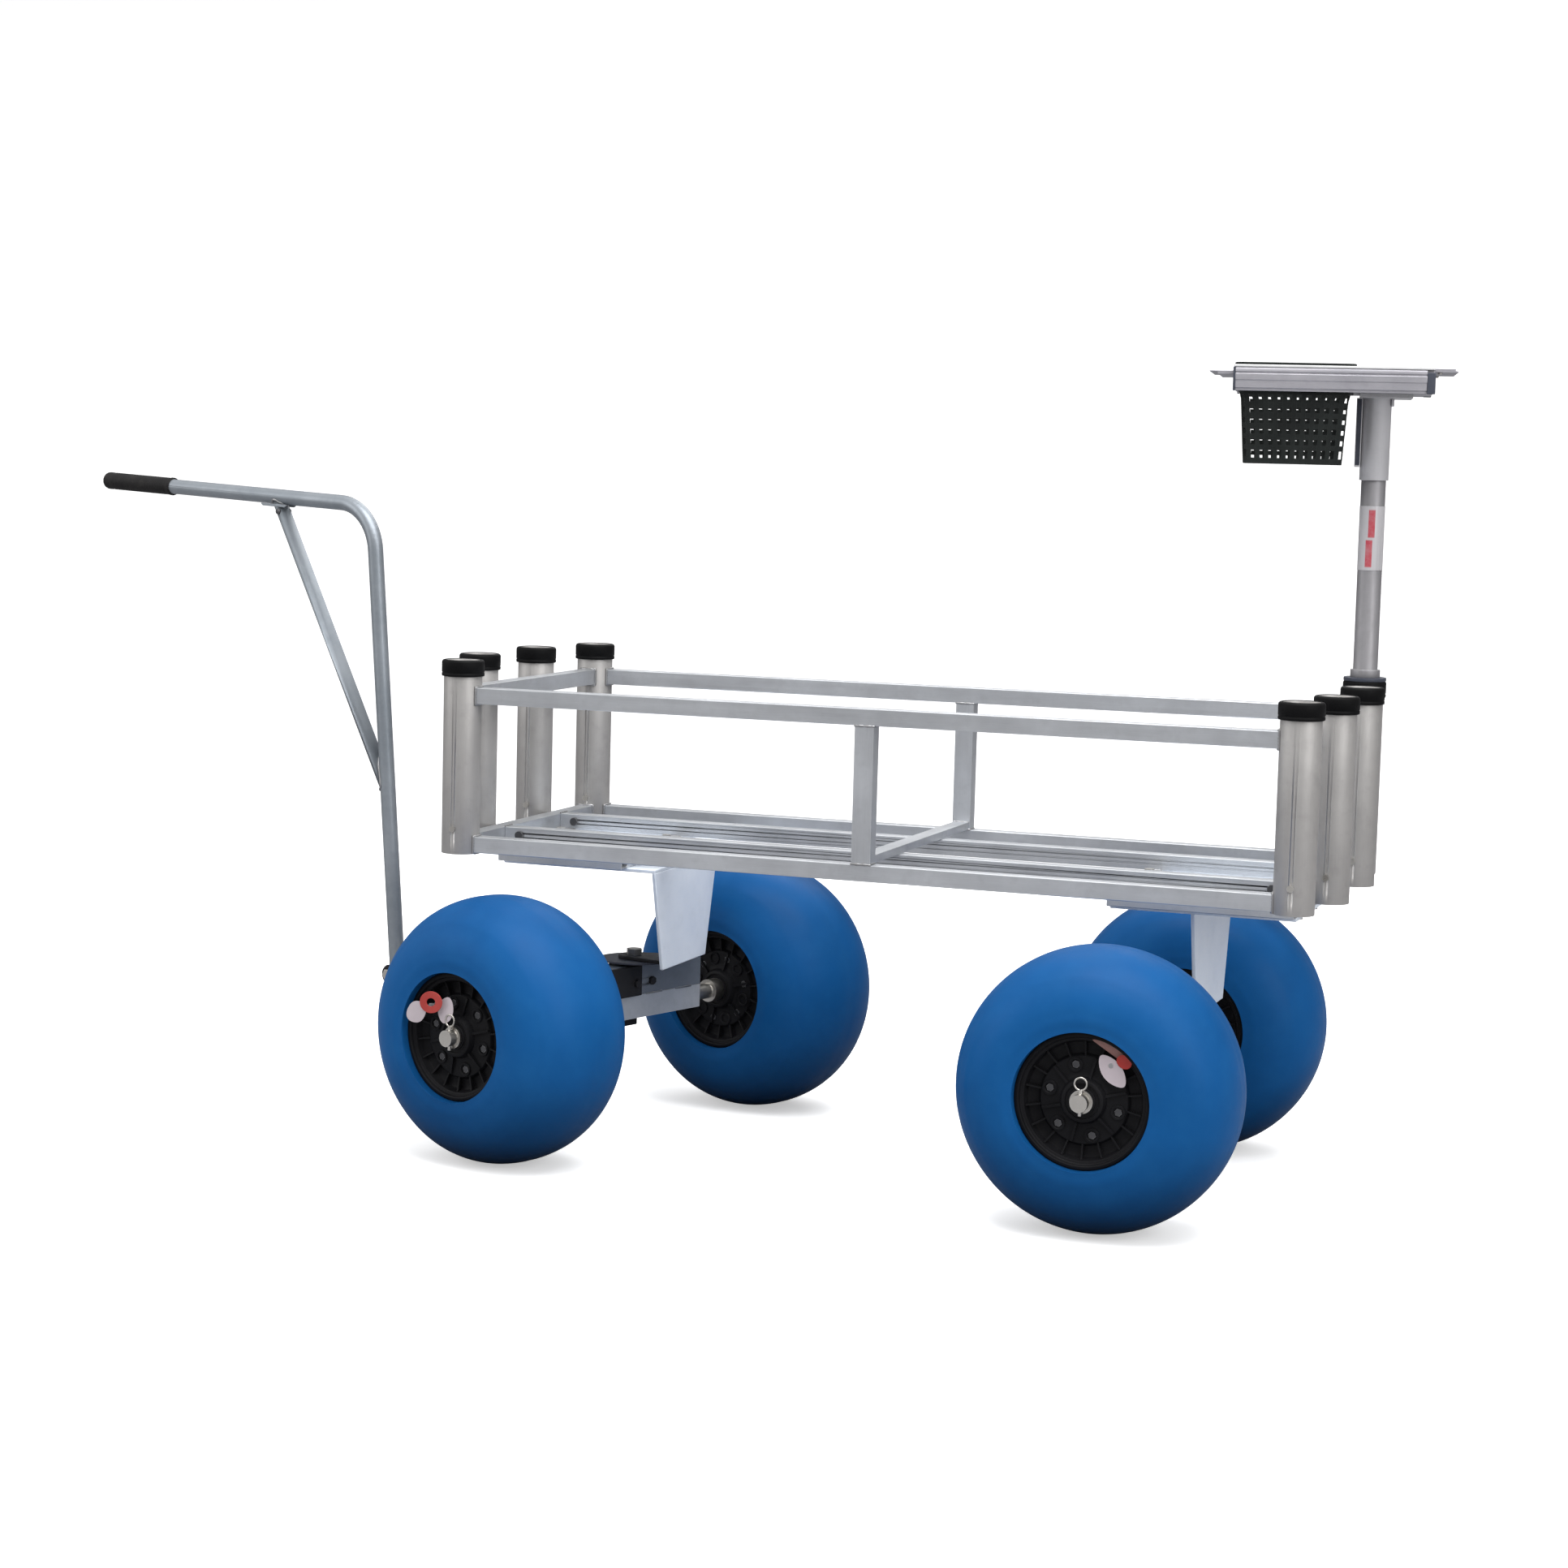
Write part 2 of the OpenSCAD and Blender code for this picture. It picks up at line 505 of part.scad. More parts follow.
side_rails();
end_rails();
deck_slats();
slat_bolts();
mid_posts();
mid_bar();
holders_front();
holders_rear();
caps_front();
caps_rear();
stop_pins();
subframe_front();
subframe_rear();
pedestal_front();
pedestal_rear();
pedestal_bolts();
rear_channel();
rear_beam();
rear_plugs();
rear_axle();
rear_bolts();
kingpin();
thrust_washer();
turn_plate();
front_channel();
front_beam();
front_plugs();
front_axle();
clamp_plates();
drawbar();
pivot_bolt();
handle_tube();
handle_brace();
handle_grip();
tyre_fn();
hub_out_fn();
hub_in_fn();
hub_bolts_fn();
valve_fn();
tyre_ff();
hub_out_ff();
hub_in_ff();
hub_bolts_ff();
tyre_rn();
hub_out_rn();
hub_in_rn();
hub_bolts_rn();
valve_rn();
tyre_rf();
hub_out_rf();
hub_in_rf();
hub_bolts_rf();
post_collar();
board_post();
post_label();
board_socket();
board_frame();
cutting_board();
basket();
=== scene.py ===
"""Four-wheeled cart with balloon tyres, a rack of upright holder tubes and a bait board.

Metres, +Z up, ground at z = 0. The cart runs along X with its front towards -X; "near" is
-Y and "far" is +Y. The front truck and its handle are steered about the kingpin, and the
board with its basket is swivelled on a post at the rear far corner. Wheels are "fn", "ff",
"rn" and "rf": front or rear, near or far.
"""
import json
import math
import random

import bpy
import bmesh
from mathutils import Matrix, Vector


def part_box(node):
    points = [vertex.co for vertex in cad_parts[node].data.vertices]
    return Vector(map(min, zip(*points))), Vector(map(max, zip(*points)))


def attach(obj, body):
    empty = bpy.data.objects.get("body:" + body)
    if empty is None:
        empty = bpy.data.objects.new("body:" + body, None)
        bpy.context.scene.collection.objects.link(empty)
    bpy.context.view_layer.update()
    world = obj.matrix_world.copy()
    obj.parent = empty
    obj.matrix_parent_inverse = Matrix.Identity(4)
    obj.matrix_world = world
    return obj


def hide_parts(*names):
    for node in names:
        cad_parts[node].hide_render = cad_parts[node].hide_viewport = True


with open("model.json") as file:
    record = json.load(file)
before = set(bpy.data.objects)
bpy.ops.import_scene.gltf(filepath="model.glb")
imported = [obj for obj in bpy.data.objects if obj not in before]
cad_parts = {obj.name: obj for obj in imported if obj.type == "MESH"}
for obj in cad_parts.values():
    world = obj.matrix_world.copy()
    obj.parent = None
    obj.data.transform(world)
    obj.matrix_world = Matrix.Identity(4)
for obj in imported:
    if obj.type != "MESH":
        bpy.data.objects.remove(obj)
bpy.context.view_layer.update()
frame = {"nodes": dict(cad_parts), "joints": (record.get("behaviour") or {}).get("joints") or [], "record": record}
NODES = frame["nodes"]
JOINTS = {joint["name"]: joint for joint in frame["joints"]}
MOUNTS = {mount["name"]: mount for mount in frame["record"]["mounts"]}
random.seed(7)

KINGPIN_LEAD = 0.466  # the kingpin is this far ahead of the middle of the deck
KINGPIN = Vector(JOINTS["steering"]["pos_m"])
CENTRE = Vector((KINGPIN.x + KINGPIN_LEAD, KINGPIN.y, 0.0))  # deck middle, on the ground
FRONT_SPIN = JOINTS["spin_front_near"]["axis"]
STEER_ANGLE = math.atan2(FRONT_SPIN[0], FRONT_SPIN[1])
# steered space: origin on the ground under the kingpin, front towards -X
TRUCK = (Matrix.Translation((KINGPIN.x, KINGPIN.y, 0))
         @ Matrix.Rotation(-STEER_ANGLE, 4, "Z"))


# ------------------------------------------------------------------ material helpers
def rgba(value):
    """Colour tuple, or a grey from one number."""
    if isinstance(value, (int, float)):
        return (value, value, value, 1)
    return (value[0], value[1], value[2], 1)


def shade(color, gain, lift=0.0):
    return tuple(min(1, part * gain + lift) for part in color)


class Mat:
    """A material, its Principled shader and short calls that add nodes to it."""

    SOCKETS = dict(color="Base Color", metal="Metallic", rough="Roughness", normal="Normal",
                   coat="Coat Weight", coat_rough="Coat Roughness", spec="Specular IOR Level",
                   emission="Emission Color", emission_strength="Emission Strength")

    def __init__(self, name):
        self.material = bpy.data.materials.new(name)
        self.material.use_nodes = True
        self.tree = self.material.node_tree
        self.tree.nodes.clear()
        output = self.node("ShaderNodeOutputMaterial")
        self.shader = self.node("ShaderNodeBsdfPrincipled")
        self.link(self.shader.outputs[0], output.inputs[0])
        self.coords = self.node("ShaderNodeTexCoord").outputs["Object"]

    def node(self, kind, **settings):
        node = self.tree.nodes.new(kind)
        for key, value in settings.items():
            setattr(node, key, value)
        return node

    def link(self, source, socket):
        self.tree.links.new(source, socket)

    def feed(self, socket, value):
        """Sets a number or a colour on a socket, or links another node's output to it."""
        if isinstance(value, (int, float)):
            socket.default_value = value
        elif isinstance(value, tuple):
            socket.default_value = rgba(value)
        else:
            self.link(value, socket)

    def mapping(self, scale, rotation=(0, 0, 0)):
        node = self.node("ShaderNodeMapping")
        node.inputs["Scale"].default_value = scale
        node.inputs["Rotation"].default_value = rotation
        self.link(self.coords, node.inputs[0])
        return node.outputs[0]

    def noise(self, scale, detail=4, rough=0.5, vector=None, distortion=0.0):
        node = self.node("ShaderNodeTexNoise")
        node.inputs["Scale"].default_value = scale
        node.inputs["Detail"].default_value = detail
        node.inputs["Roughness"].default_value = rough
        node.inputs["Distortion"].default_value = distortion
        self.link(self.coords if vector is None else vector, node.inputs["Vector"])
        return node.outputs[0]

    def ramp(self, factor, stops):
        """Colour ramp; stops are (position, colour or grey)."""
        node = self.node("ShaderNodeValToRGB")
        elements = node.color_ramp.elements
        while len(elements) < len(stops):
            elements.new(0.5)
        for element, (position, value) in zip(elements, stops):
            element.position = position
            element.color = rgba(value)
        self.link(factor, node.inputs[0])
        return node.outputs[0]

    def calc(self, operation, first, second):
        node = self.node("ShaderNodeMath", operation=operation)
        self.feed(node.inputs[0], first)
        self.feed(node.inputs[1], second)
        return node.outputs[0]

    def average(self, first, second, weight):
        """Weighted mean; weight is the share of the first."""
        return self.calc("ADD", self.calc("MULTIPLY", first, weight),
                         self.calc("MULTIPLY", second, 1 - weight))

    def mix(self, factor, first, second, mode="MIX"):
        node = self.node("ShaderNodeMix", data_type="RGBA", blend_type=mode)
        for index, value in ((0, factor), (6, first), (7, second)):
            self.feed(node.inputs[index], value)
        return node.outputs[2]

    def bump(self, height, strength, distance, normal=None):
        node = self.node("ShaderNodeBump")
        node.inputs["Strength"].default_value = strength
        node.inputs["Distance"].default_value = distance
        self.link(height, node.inputs["Height"])
        if normal is not None:
            self.link(normal, node.inputs["Normal"])
        return node.outputs[0]

    def axes(self, vector):
        """The X, Y and Z outputs of a vector."""
        node = self.node("ShaderNodeSeparateXYZ")
        self.link(vector, node.inputs[0])
        return node.outputs

    def edge(self, radius, flat=0.97, sharp=0.75):
        """0 on flats, 1 on sharp edges: how far a bevelled normal leans from the true one."""
        rounded = self.node("ShaderNodeBevel")
        rounded.samples = 4
        rounded.inputs["Radius"].default_value = radius
        geometry = self.node("ShaderNodeNewGeometry")
        dot = self.node("ShaderNodeVectorMath", operation="DOT_PRODUCT")
        self.link(rounded.outputs[0], dot.inputs[0])
        self.link(geometry.outputs["Normal"], dot.inputs[1])
        spread = self.node("ShaderNodeMapRange")
        spread.inputs[1].default_value = flat
        spread.inputs[2].default_value = sharp
        self.link(dot.outputs["Value"], spread.inputs[0])
        return spread.outputs[0]

    def surface(self, **values):
        for key, value in values.items():
            self.feed(self.shader.inputs[self.SOCKETS[key]], value)
        return self.material


def metal(name, base, dark, rough, streak, bump, metallic, grime):
    """Drawn metal: fine streaks along one axis, blotches, soft grime, brighter edges."""
    m = Mat(name)
    streaks = m.mapping(scale=streak)
    fine = m.noise(scale=900, detail=3, rough=0.6, vector=streaks)
    medium = m.noise(scale=160, detail=4, rough=0.6, vector=streaks)
    blotch = m.noise(scale=9, detail=4, rough=0.55)
    cloud = m.noise(scale=38, detail=5, rough=0.6)
    color = m.ramp(blotch, [(0.30, dark), (0.70, base)])
    color = m.mix(m.ramp(fine, [(0.35, 0.0), (0.75, 0.20)]), color, shade(base, gain=1.18))
    color = m.mix(m.ramp(cloud, [(0.52, 0.0), (0.80, grime)]), color, shade(dark, gain=0.62))
    worn = m.calc("MULTIPLY", m.edge(radius=0.0015), 0.45)
    color = m.mix(worn, color, (0.93, 0.94, 0.95))
    roughness = m.ramp(m.average(medium, cloud, weight=0.6), [(0.3, rough[0]), (0.7, rough[1])])
    height = m.average(fine, medium, weight=0.6)
    return m.surface(color=color, metal=metallic, rough=roughness,
                     normal=m.bump(height, strength=bump, distance=0.0006))


def plastic(name, base, light, rough, grain, bump, edge, spec, dust):
    """Moulded plastic, paint or rubber: fine grain, uneven tone, pale rubbed edges."""
    m = Mat(name)
    blotch = m.noise(scale=14, detail=5, rough=0.6)
    fine = m.noise(scale=grain, detail=3, rough=0.6)
    cloud = m.noise(scale=55, detail=5, rough=0.65)
    color = m.ramp(blotch, [(0.30, base), (0.72, light)])
    if dust:
        amount, dust_color = dust
        color = m.mix(m.ramp(cloud, [(0.50, 0.0), (0.85, amount)]), color, dust_color)
    worn = m.calc("MULTIPLY", m.edge(radius=0.0012), edge)
    color = m.mix(worn, color, shade(light, gain=2.2, lift=0.05))
    roughness = m.ramp(m.average(cloud, fine, weight=0.7), [(0.3, rough[0]), (0.7, rough[1])])
    return m.surface(color=color, metal=0.0, rough=roughness,
                     normal=m.bump(fine, strength=bump, distance=0.0005),
                     coat=0.0, coat_rough=0.25, spec=spec)


def tyre_material():
    m = Mat("tyre_blue")
    blotch = m.noise(scale=5, detail=4, rough=0.55)
    cloud = m.noise(scale=26, detail=6, rough=0.62)
    fine = m.noise(scale=420, detail=4, rough=0.6)
    peel = m.noise(scale=90, detail=3, rough=0.5)
    color = m.ramp(blotch, [(0.28, (0.006, 0.085, 0.270)), (0.72, (0.009, 0.112, 0.345))])
    color = m.mix(m.ramp(cloud, [(0.45, 0.0), (0.80, 0.20)]), color, (0.020, 0.150, 0.380))
    scuff = m.noise(scale=60, detail=8, rough=0.75, distortion=0.6,
                    vector=m.mapping(scale=(1, 1, 6), rotation=(0.4, 0.2, 0.1)))
    color = m.mix(m.ramp(scuff, [(0.60, 0.0), (0.78, 0.16)]), color, (0.040, 0.180, 0.40))
    # painted shade: darker low down (by height in metres) and on faces that look at the ground, and a little
    # darker on faces that look straight up
    geometry = m.node("ShaderNodeNewGeometry")
    height = m.axes(geometry.outputs["Position"])[2]
    facing_up = m.axes(geometry.outputs["Normal"])[2]
    low = m.ramp(height, [(0.0, 0.26), (0.06, 0.70), (0.17, 1.0)])
    facing = m.calc("ADD", m.calc("MULTIPLY", facing_up, 0.5), 0.5)
    facing_shade = m.ramp(facing, [(0.0, 0.48), (0.36, 0.88), (0.62, 0.84), (0.80, 0.74)])
    color = m.mix(1.0, color, m.mix(1.0, low, facing_shade, mode="MULTIPLY"), mode="MULTIPLY")
    roughness = m.ramp(m.average(cloud, fine, weight=0.7), [(0.3, 0.36), (0.7, 0.52)])
    normal = m.bump(fine, strength=0.10, distance=0.0004)
    normal = m.bump(peel, strength=0.10, distance=0.0012, normal=normal)
    return m.surface(color=color, rough=roughness, normal=normal, coat=0.0, spec=0.07)


def label_material(low, high):
    """Pale wrap with two plain faded red blocks down its near side."""
    across_x, across_y = 0.986, 0.164  # level direction across the blocks
    block_half_width = 0.0051
    block_shift = 0.0030               # the lower block sits this far to the -across side
    m = Mat("label_plain")
    place = m.axes(m.coords)
    rise = m.node("ShaderNodeMapRange")
    rise.inputs[1].default_value = low.z
    rise.inputs[2].default_value = high.z
    m.link(place[2], rise.inputs[0])
    rise = rise.outputs[0]             # 0 at the foot of the wrap, 1 at its top
    x = m.calc("SUBTRACT", place[0], (low.x + high.x) / 2)
    y = m.calc("SUBTRACT", place[1], (low.y + high.y) / 2)
    across = m.calc("ADD", m.calc("MULTIPLY", x, across_x), m.calc("MULTIPLY", y, across_y))
    nearness = m.calc("SUBTRACT", m.calc("MULTIPLY", x, across_y),
                      m.calc("MULTIPLY", y, across_x))
    upper = m.calc("GREATER_THAN", rise, 0.49)
    middle = m.calc("SUBTRACT", m.calc("MULTIPLY", upper, block_shift), block_shift)
    offset = m.calc("SUBTRACT", across, middle)
    inside = m.calc("LESS_THAN", m.calc("MULTIPLY", offset, offset), block_half_width ** 2)
    bands = m.ramp(rise, [(0.04, 0.0), (0.06, 1.0), (0.46, 1.0), (0.48, 0.0),
                          (0.50, 0.0), (0.52, 1.0), (0.93, 1.0), (0.95, 0.0)])
    on_near_side = m.calc("GREATER_THAN", nearness, 0.0)
    mask = m.calc("MULTIPLY", m.calc("MULTIPLY", inside, on_near_side), bands)
    color = m.mix(mask, (0.44, 0.43, 0.445), (0.42, 0.035, 0.055))
    fade = m.noise(scale=60, detail=6, rough=0.7)
    color = m.mix(m.ramp(fade, [(0.40, 0.05), (0.75, 0.40)]), color, (0.40, 0.39, 0.41))
    return m.surface(color=color, rough=m.ramp(fade, [(0.3, 0.35), (0.7, 0.55)]),
                     normal=m.bump(m.noise(scale=500, detail=3), strength=0.06,
                                   distance=0.0004))


# ------------------------------------------------------------------ material tables
ALU = (0.64, 0.66, 0.69)
ALU_DARK = (0.50, 0.515, 0.54)
EVEN = (1, 1, 1)  # streak scale with no direction; a small value draws streaks along its axis

# key: name, base colour, dark colour, roughness span, streak scale, bump, metallic, grime
METALS = {
    "alu_x": ("alu_drawn_x", ALU, ALU_DARK, (0.28, 0.45), (0.03, 1, 1), 0.06, 0.85, 0.25),
    "alu_y": ("alu_drawn_y", ALU, ALU_DARK, (0.28, 0.45), (1, 0.03, 1), 0.06, 0.85, 0.25),
    "alu_z": ("alu_drawn_z", ALU, ALU_DARK, (0.28, 0.45), (1, 1, 0.03), 0.06, 0.85, 0.25),
    "alu_tube": ("alu_round_tube", (0.40, 0.388, 0.378), (0.33, 0.32, 0.312),
                 (0.42, 0.56), (1, 1, 0.04), 0.06, 0.5, 0.3),
    "alu_plate": ("alu_plate", (0.86, 0.92, 1.0), (0.76, 0.83, 0.93),
                  (0.40, 0.55), (1, 0.05, 1), 0.06, 0.25, 0.15),
    "alu_handle": ("alu_handle", (0.29, 0.315, 0.345), (0.21, 0.235, 0.262),
                   (0.34, 0.5), (0.1, 0.1, 0.1), 0.06, 0.55, 0.2),
    "alu_beam": ("alu_beam", (0.50, 0.53, 0.58), (0.36, 0.39, 0.44),
                 (0.38, 0.52), (1, 0.03, 1), 0.06, 0.4, 0.3),
    # post and socket are one aluminium in two copies: the post's made darker as painted shade, the socket's
    # lighter as painted light
    "alu_post_painted_shade": ("alu_post_painted_shade", (0.255, 0.25, 0.26), (0.215, 0.21, 0.22),
                 (0.40, 0.55), (1, 1, 0.04), 0.06, 0.45, 0.25),
    "alu_socket": ("alu_socket", (0.56, 0.555, 0.57), (0.48, 0.475, 0.49),
                   (0.38, 0.55), (1, 1, 0.04), 0.06, 0.4, 0.25),
    "alu_board": ("alu_board", (0.41, 0.40, 0.43), (0.32, 0.315, 0.345),
                  (0.33, 0.48), (0.04, 1, 1), 0.06, 0.55, 0.25),
    "steel": ("zinc_steel", (0.66, 0.64, 0.60), (0.42, 0.40, 0.37),
              (0.25, 0.42), EVEN, 0.06, 1.0, 0.25),
    "dark_steel": ("black_bolt", (0.10, 0.10, 0.105), (0.06, 0.06, 0.065),
                   (0.35, 0.5), EVEN, 0.06, 0.7, 0.25),
    "channel": ("channel_grey", (0.17, 0.195, 0.235), (0.11, 0.13, 0.165),
                (0.42, 0.6), (1, 0.06, 1), 0.06, 0.25, 0.25),
    "weld": ("weld_bead", (0.44, 0.44, 0.45), (0.26, 0.26, 0.26),
             (0.28, 0.5), EVEN, 0.3, 0.95, 0.5),
}
# key: name, base colour, light colour, roughness span, grain scale, bump, edge wear,
# specular level, dust as (amount, colour)
PLASTICS = {
    "black_paint": ("black_powder_coat", (0.010, 0.010, 0.012), (0.020, 0.020, 0.023),
                    (0.38, 0.55), 1400, 0.25, 0.2, 0.2, None),
    "hub": ("hub_plastic", (0.0045, 0.0045, 0.0055), (0.0100, 0.0100, 0.0115),
            (0.42, 0.6), 1100, 0.2, 0.12, 0.12, (0.08, (0.030, 0.028, 0.028))),
    "cap": ("cap_rubber", (0.0025, 0.0025, 0.0028), (0.0060, 0.0060, 0.0064),
            (0.45, 0.65), 1300, 0.2, 0.15, 0.08, None),
    "grip": ("grip_rubber", (0.006, 0.0055, 0.006), (0.013, 0.012, 0.0125),
             (0.5, 0.75), 1500, 0.35, 0.12, 0.2, (0.05, (0.35, 0.33, 0.30))),
    "collar": ("collar_nylon", (0.035, 0.040, 0.055), (0.065, 0.070, 0.090),
               (0.35, 0.5), 900, 0.1, 0.25, 0.22, None),
    "basket": ("basket_plastic", (0.008, 0.009, 0.009), (0.018, 0.021, 0.020),
               (0.32, 0.5), 900, 0.12, 0.18, 0.15, None),
    "cut": ("cutting_board_pe", (0.52, 0.52, 0.53), (0.62, 0.62, 0.62),
            (0.45, 0.62), 500, 0.2, 0.0, 0.22, None),
    "tag": ("tag_card", (0.46, 0.40, 0.43), (0.56, 0.50, 0.53),
            (0.5, 0.65), 600, 0.08, 0.0, 0.22, None),
    "tag_worn": ("tag_worn_strip", (0.26, 0.13, 0.115), (0.36, 0.22, 0.20),
                 (0.45, 0.6), 600, 0.08, 0.0, 0.22, None),
    "tag_red": ("tag_red", (0.36, 0.035, 0.03), (0.46, 0.07, 0.06),
                (0.45, 0.6), 600, 0.08, 0.0, 0.22, None),
    "valve": ("valve_brass_grey", (0.25, 0.25, 0.26), (0.40, 0.40, 0.41),
              (0.3, 0.45), 900, 0.1, 0.25, 0.22, None),
}
MATS = {key: metal(*row) for key, row in METALS.items()}
MATS.update({key: plastic(*row) for key, row in PLASTICS.items()})
MATS["tyre"] = tyre_material()


# ------------------------------------------------------------------ mesh helpers
def add_bevel(target, width, segments=2, angle=30):
    modifier = target.modifiers.new("bevel", "BEVEL")
    modifier.width = width
    modifier.segments = segments
    modifier.limit_method = "ANGLE"
    modifier.angle_limit = math.radians(angle)
    modifier.harden_normals = False
    modifier.miter_outer = "MITER_ARC"


def piece(name, mesh, look, body, slot, angle=35, bevel=0.0, segments=2, replaces=None):
    """Turns a bmesh into an object; edges sharper than angle degrees stay hard."""
    data = bpy.data.meshes.new(name)
    bmesh.ops.recalc_face_normals(mesh, faces=mesh.faces)
    for face in mesh.faces:
        face.smooth = True
    for edge in mesh.edges:
        paired = len(edge.link_faces) == 2
        edge.smooth = paired and edge.calc_face_angle(0) < math.radians(angle)
    mesh.to_mesh(data)
    mesh.free()
    made = bpy.data.objects.new(name, data)
    bpy.context.scene.collection.objects.link(made)
    data.materials.append(MATS[look])
    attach(made, body)
    if bevel:
        add_bevel(made, bevel, segments)
    if replaces:
        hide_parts(replaces)


def add_box(mesh, low, high):
    corners = [mesh.verts.new((x, y, z))
               for x in (low[0], high[0]) for y in (low[1], high[1]) for z in (low[2], high[2])]
    for quad in ((0, 1, 3, 2), (4, 6, 7, 5), (0, 4, 5, 1),
                 (2, 3, 7, 6), (0, 2, 6, 4), (1, 5, 7, 3)):
        mesh.faces.new([corners[i] for i in quad])


def lathe(mesh, profile, segments, placement, closed=True):
    """Revolves (radius, z) points about Z; closed joins the last point to the first."""
    rings = []
    for i in range(segments):
        angle = 2 * math.pi * i / segments
        cosine, sine = math.cos(angle), math.sin(angle)
        rings.append([mesh.verts.new(placement @ Vector((radius * cosine, radius * sine, z)))
                      for radius, z in profile])
    count = len(profile)
    for i in range(segments):
        here, there = rings[i], rings[(i + 1) % segments]
        for k in range(count if closed else count - 1):
            after = (k + 1) % count
            mesh.faces.new((here[k], there[k], there[after], here[after]))


def merge_poles(mesh):
    """Joins the lathed points that fall together on the axis."""
    bmesh.ops.remove_doubles(mesh, verts=mesh.verts, dist=1e-6)


def prism(mesh, outline, z0, z1, placement=Matrix()):
    """Extrudes an (x, y) outline along its own Z, then places it."""
    low, high = [[mesh.verts.new(placement @ Vector((x, y, z))) for x, y in outline]
                 for z in (z0, z1)]
    mesh.faces.new(list(reversed(low)))
    mesh.faces.new(high)
    for i in range(len(outline)):
        j = (i + 1) % len(outline)
        mesh.faces.new((low[i], low[j], high[j], high[i]))


def loft(mesh, first, last):
    """Solid between two matching outlines of 3-D points."""
    start = [mesh.verts.new(point) for point in first]
    end = [mesh.verts.new(point) for point in last]
    mesh.faces.new(start)
    mesh.faces.new(list(reversed(end)))
    for i in range(len(start)):
        j = (i + 1) % len(start)
        mesh.faces.new((start[i], end[i], end[j], start[j]))


def sweep(mesh, path, radius, ripple, closed=False, sides=7, pitch=0.004):
    """Weld bead along a path, its radius rippling once per pitch."""
    path = [Vector(point) for point in path]
    count = len(path)
    rings = []
    travelled = 0.0
    up = None
    for i in range(count):
        before = path[(i - 1) % count] if (closed or i > 0) else path[i]
        after = path[(i + 1) % count] if (closed or i < count - 1) else path[i]
        along = (after - before).normalized()
        if up is None:
            up = Vector((0, 0, 1)) if abs(along.z) < 0.9 else Vector((1, 0, 0))
        up = (up - along * up.dot(along)).normalized()
        side = along.cross(up)
        if i:
            travelled += (path[i] - path[i - 1]).length
        reach = radius * (1 + ripple * math.sin(2 * math.pi * travelled / pitch))
        ring = []
        for k in range(sides):
            angle = 2 * math.pi * k / sides
            out = up * math.cos(angle) + side * math.sin(angle)
            ring.append(mesh.verts.new(path[i] + out * reach))
        rings.append(ring)
    for i in range(count if closed else count - 1):
        here, there = rings[i], rings[(i + 1) % count]
        for k in range(sides):
            after = (k + 1) % sides
            mesh.faces.new((here[k], here[after], there[after], there[k]))
    if not closed:
        mesh.faces.new(list(reversed(rings[0])))
        mesh.faces.new(rings[-1])


def straight_bead(mesh, start, end, radius, steps=9, placement=Matrix()):
    path = [placement @ Vector([a + (b - a) * i / steps for a, b in zip(start, end)])
            for i in range(steps + 1)]
    sweep(mesh, path, radius, ripple=0.25)


def rectangle_loop(half_x, half_y, steps):
    """Points round a rectangle, steps to a side."""
    corners = [(-half_x, -half_y), (half_x, -half_y), (half_x, half_y), (-half_x, half_y)]
    return [(x0 + (x1 - x0) * i / steps, y0 + (y1 - y0) * i / steps)
            for (x0, y0), (x1, y1) in zip(corners, corners[1:] + corners[:1])
            for i in range(steps)]


def rounded_rectangle(half_x, half_y, radius, steps):
    """Outline with round corners, steps to a corner."""
    points = []
    for sign_x, sign_y, start in ((1, 1, 0), (-1, 1, 90), (-1, -1, 180), (1, -1, 270)):
        for i in range(steps + 1):
            angle = math.radians(start + 90 * i / steps)
            points.append((sign_x * (half_x - radius) + radius * math.cos(angle),
                           sign_y * (half_y - radius) + radius * math.sin(angle)))
    return points


# ------------------------------------------------------------------ pieces kept from the CAD
# material key, bevel width, nodes
CAD_LOOKS = [
    ("alu_x", 0.0012, "side_rails deck_slats"),
    ("alu_y", 0.0012, "end_rails subframe_front subframe_rear"),
    ("alu_z", 0.0012, "mid_posts"),
    ("alu_y", 0.001, "mid_bar"),
    ("alu_plate", 0.0012, "pedestal_rear"),
    ("alu_tube", 0.0008, "holders_front holders_rear"),
    ("dark_steel", 0.0006, "slat_bolts hub_bolts_fn hub_bolts_ff hub_bolts_rn hub_bolts_rf"),
    ("steel", 0.0006, "stop_pins pedestal_bolts rear_bolts kingpin pivot_bolt"),
    ("channel", 0.0015, "rear_channel front_channel"),
    ("alu_beam", 0.0015, "rear_beam front_beam"),
    ("alu_y", 0.0005, "rear_plugs front_plugs"),
    ("steel", 0.0005, "rear_axle front_axle"),
    ("collar", 0.0005, "thrust_washer"),
    ("black_paint", 0.0012, "clamp_plates"),
    ("black_paint", 0.0015, "drawbar"),
    ("alu_handle", 0.0, "handle_tube handle_brace"),
    ("collar", 0.001, "post_collar"),
    ("alu_post_painted_shade", 0.0006, "board_post"),
    ("alu_socket", 0.001, "board_socket"),
]


def dress_cad(node, material, bevel=0.0):
    """Gives a CAD node its material and softened edges."""
    kept = NODES[node]
    kept.data.materials.clear()
    kept.data.materials.append(material)
    kept.modifiers.new("weld", "WELD").merge_threshold = 0.00002
    if bevel:
        add_bevel(kept, bevel, angle=32)


for look, width, nodes in CAD_LOOKS:
    for node in nodes.split():
        dress_cad(node, MATS[look], width)
dress_cad("post_label", label_material(*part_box("post_label")))


# ------------------------------------------------------------------ turntable and pedestal
def box_middle(node):
    return [(low + high) / 2 for low, high in zip(*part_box(node))]


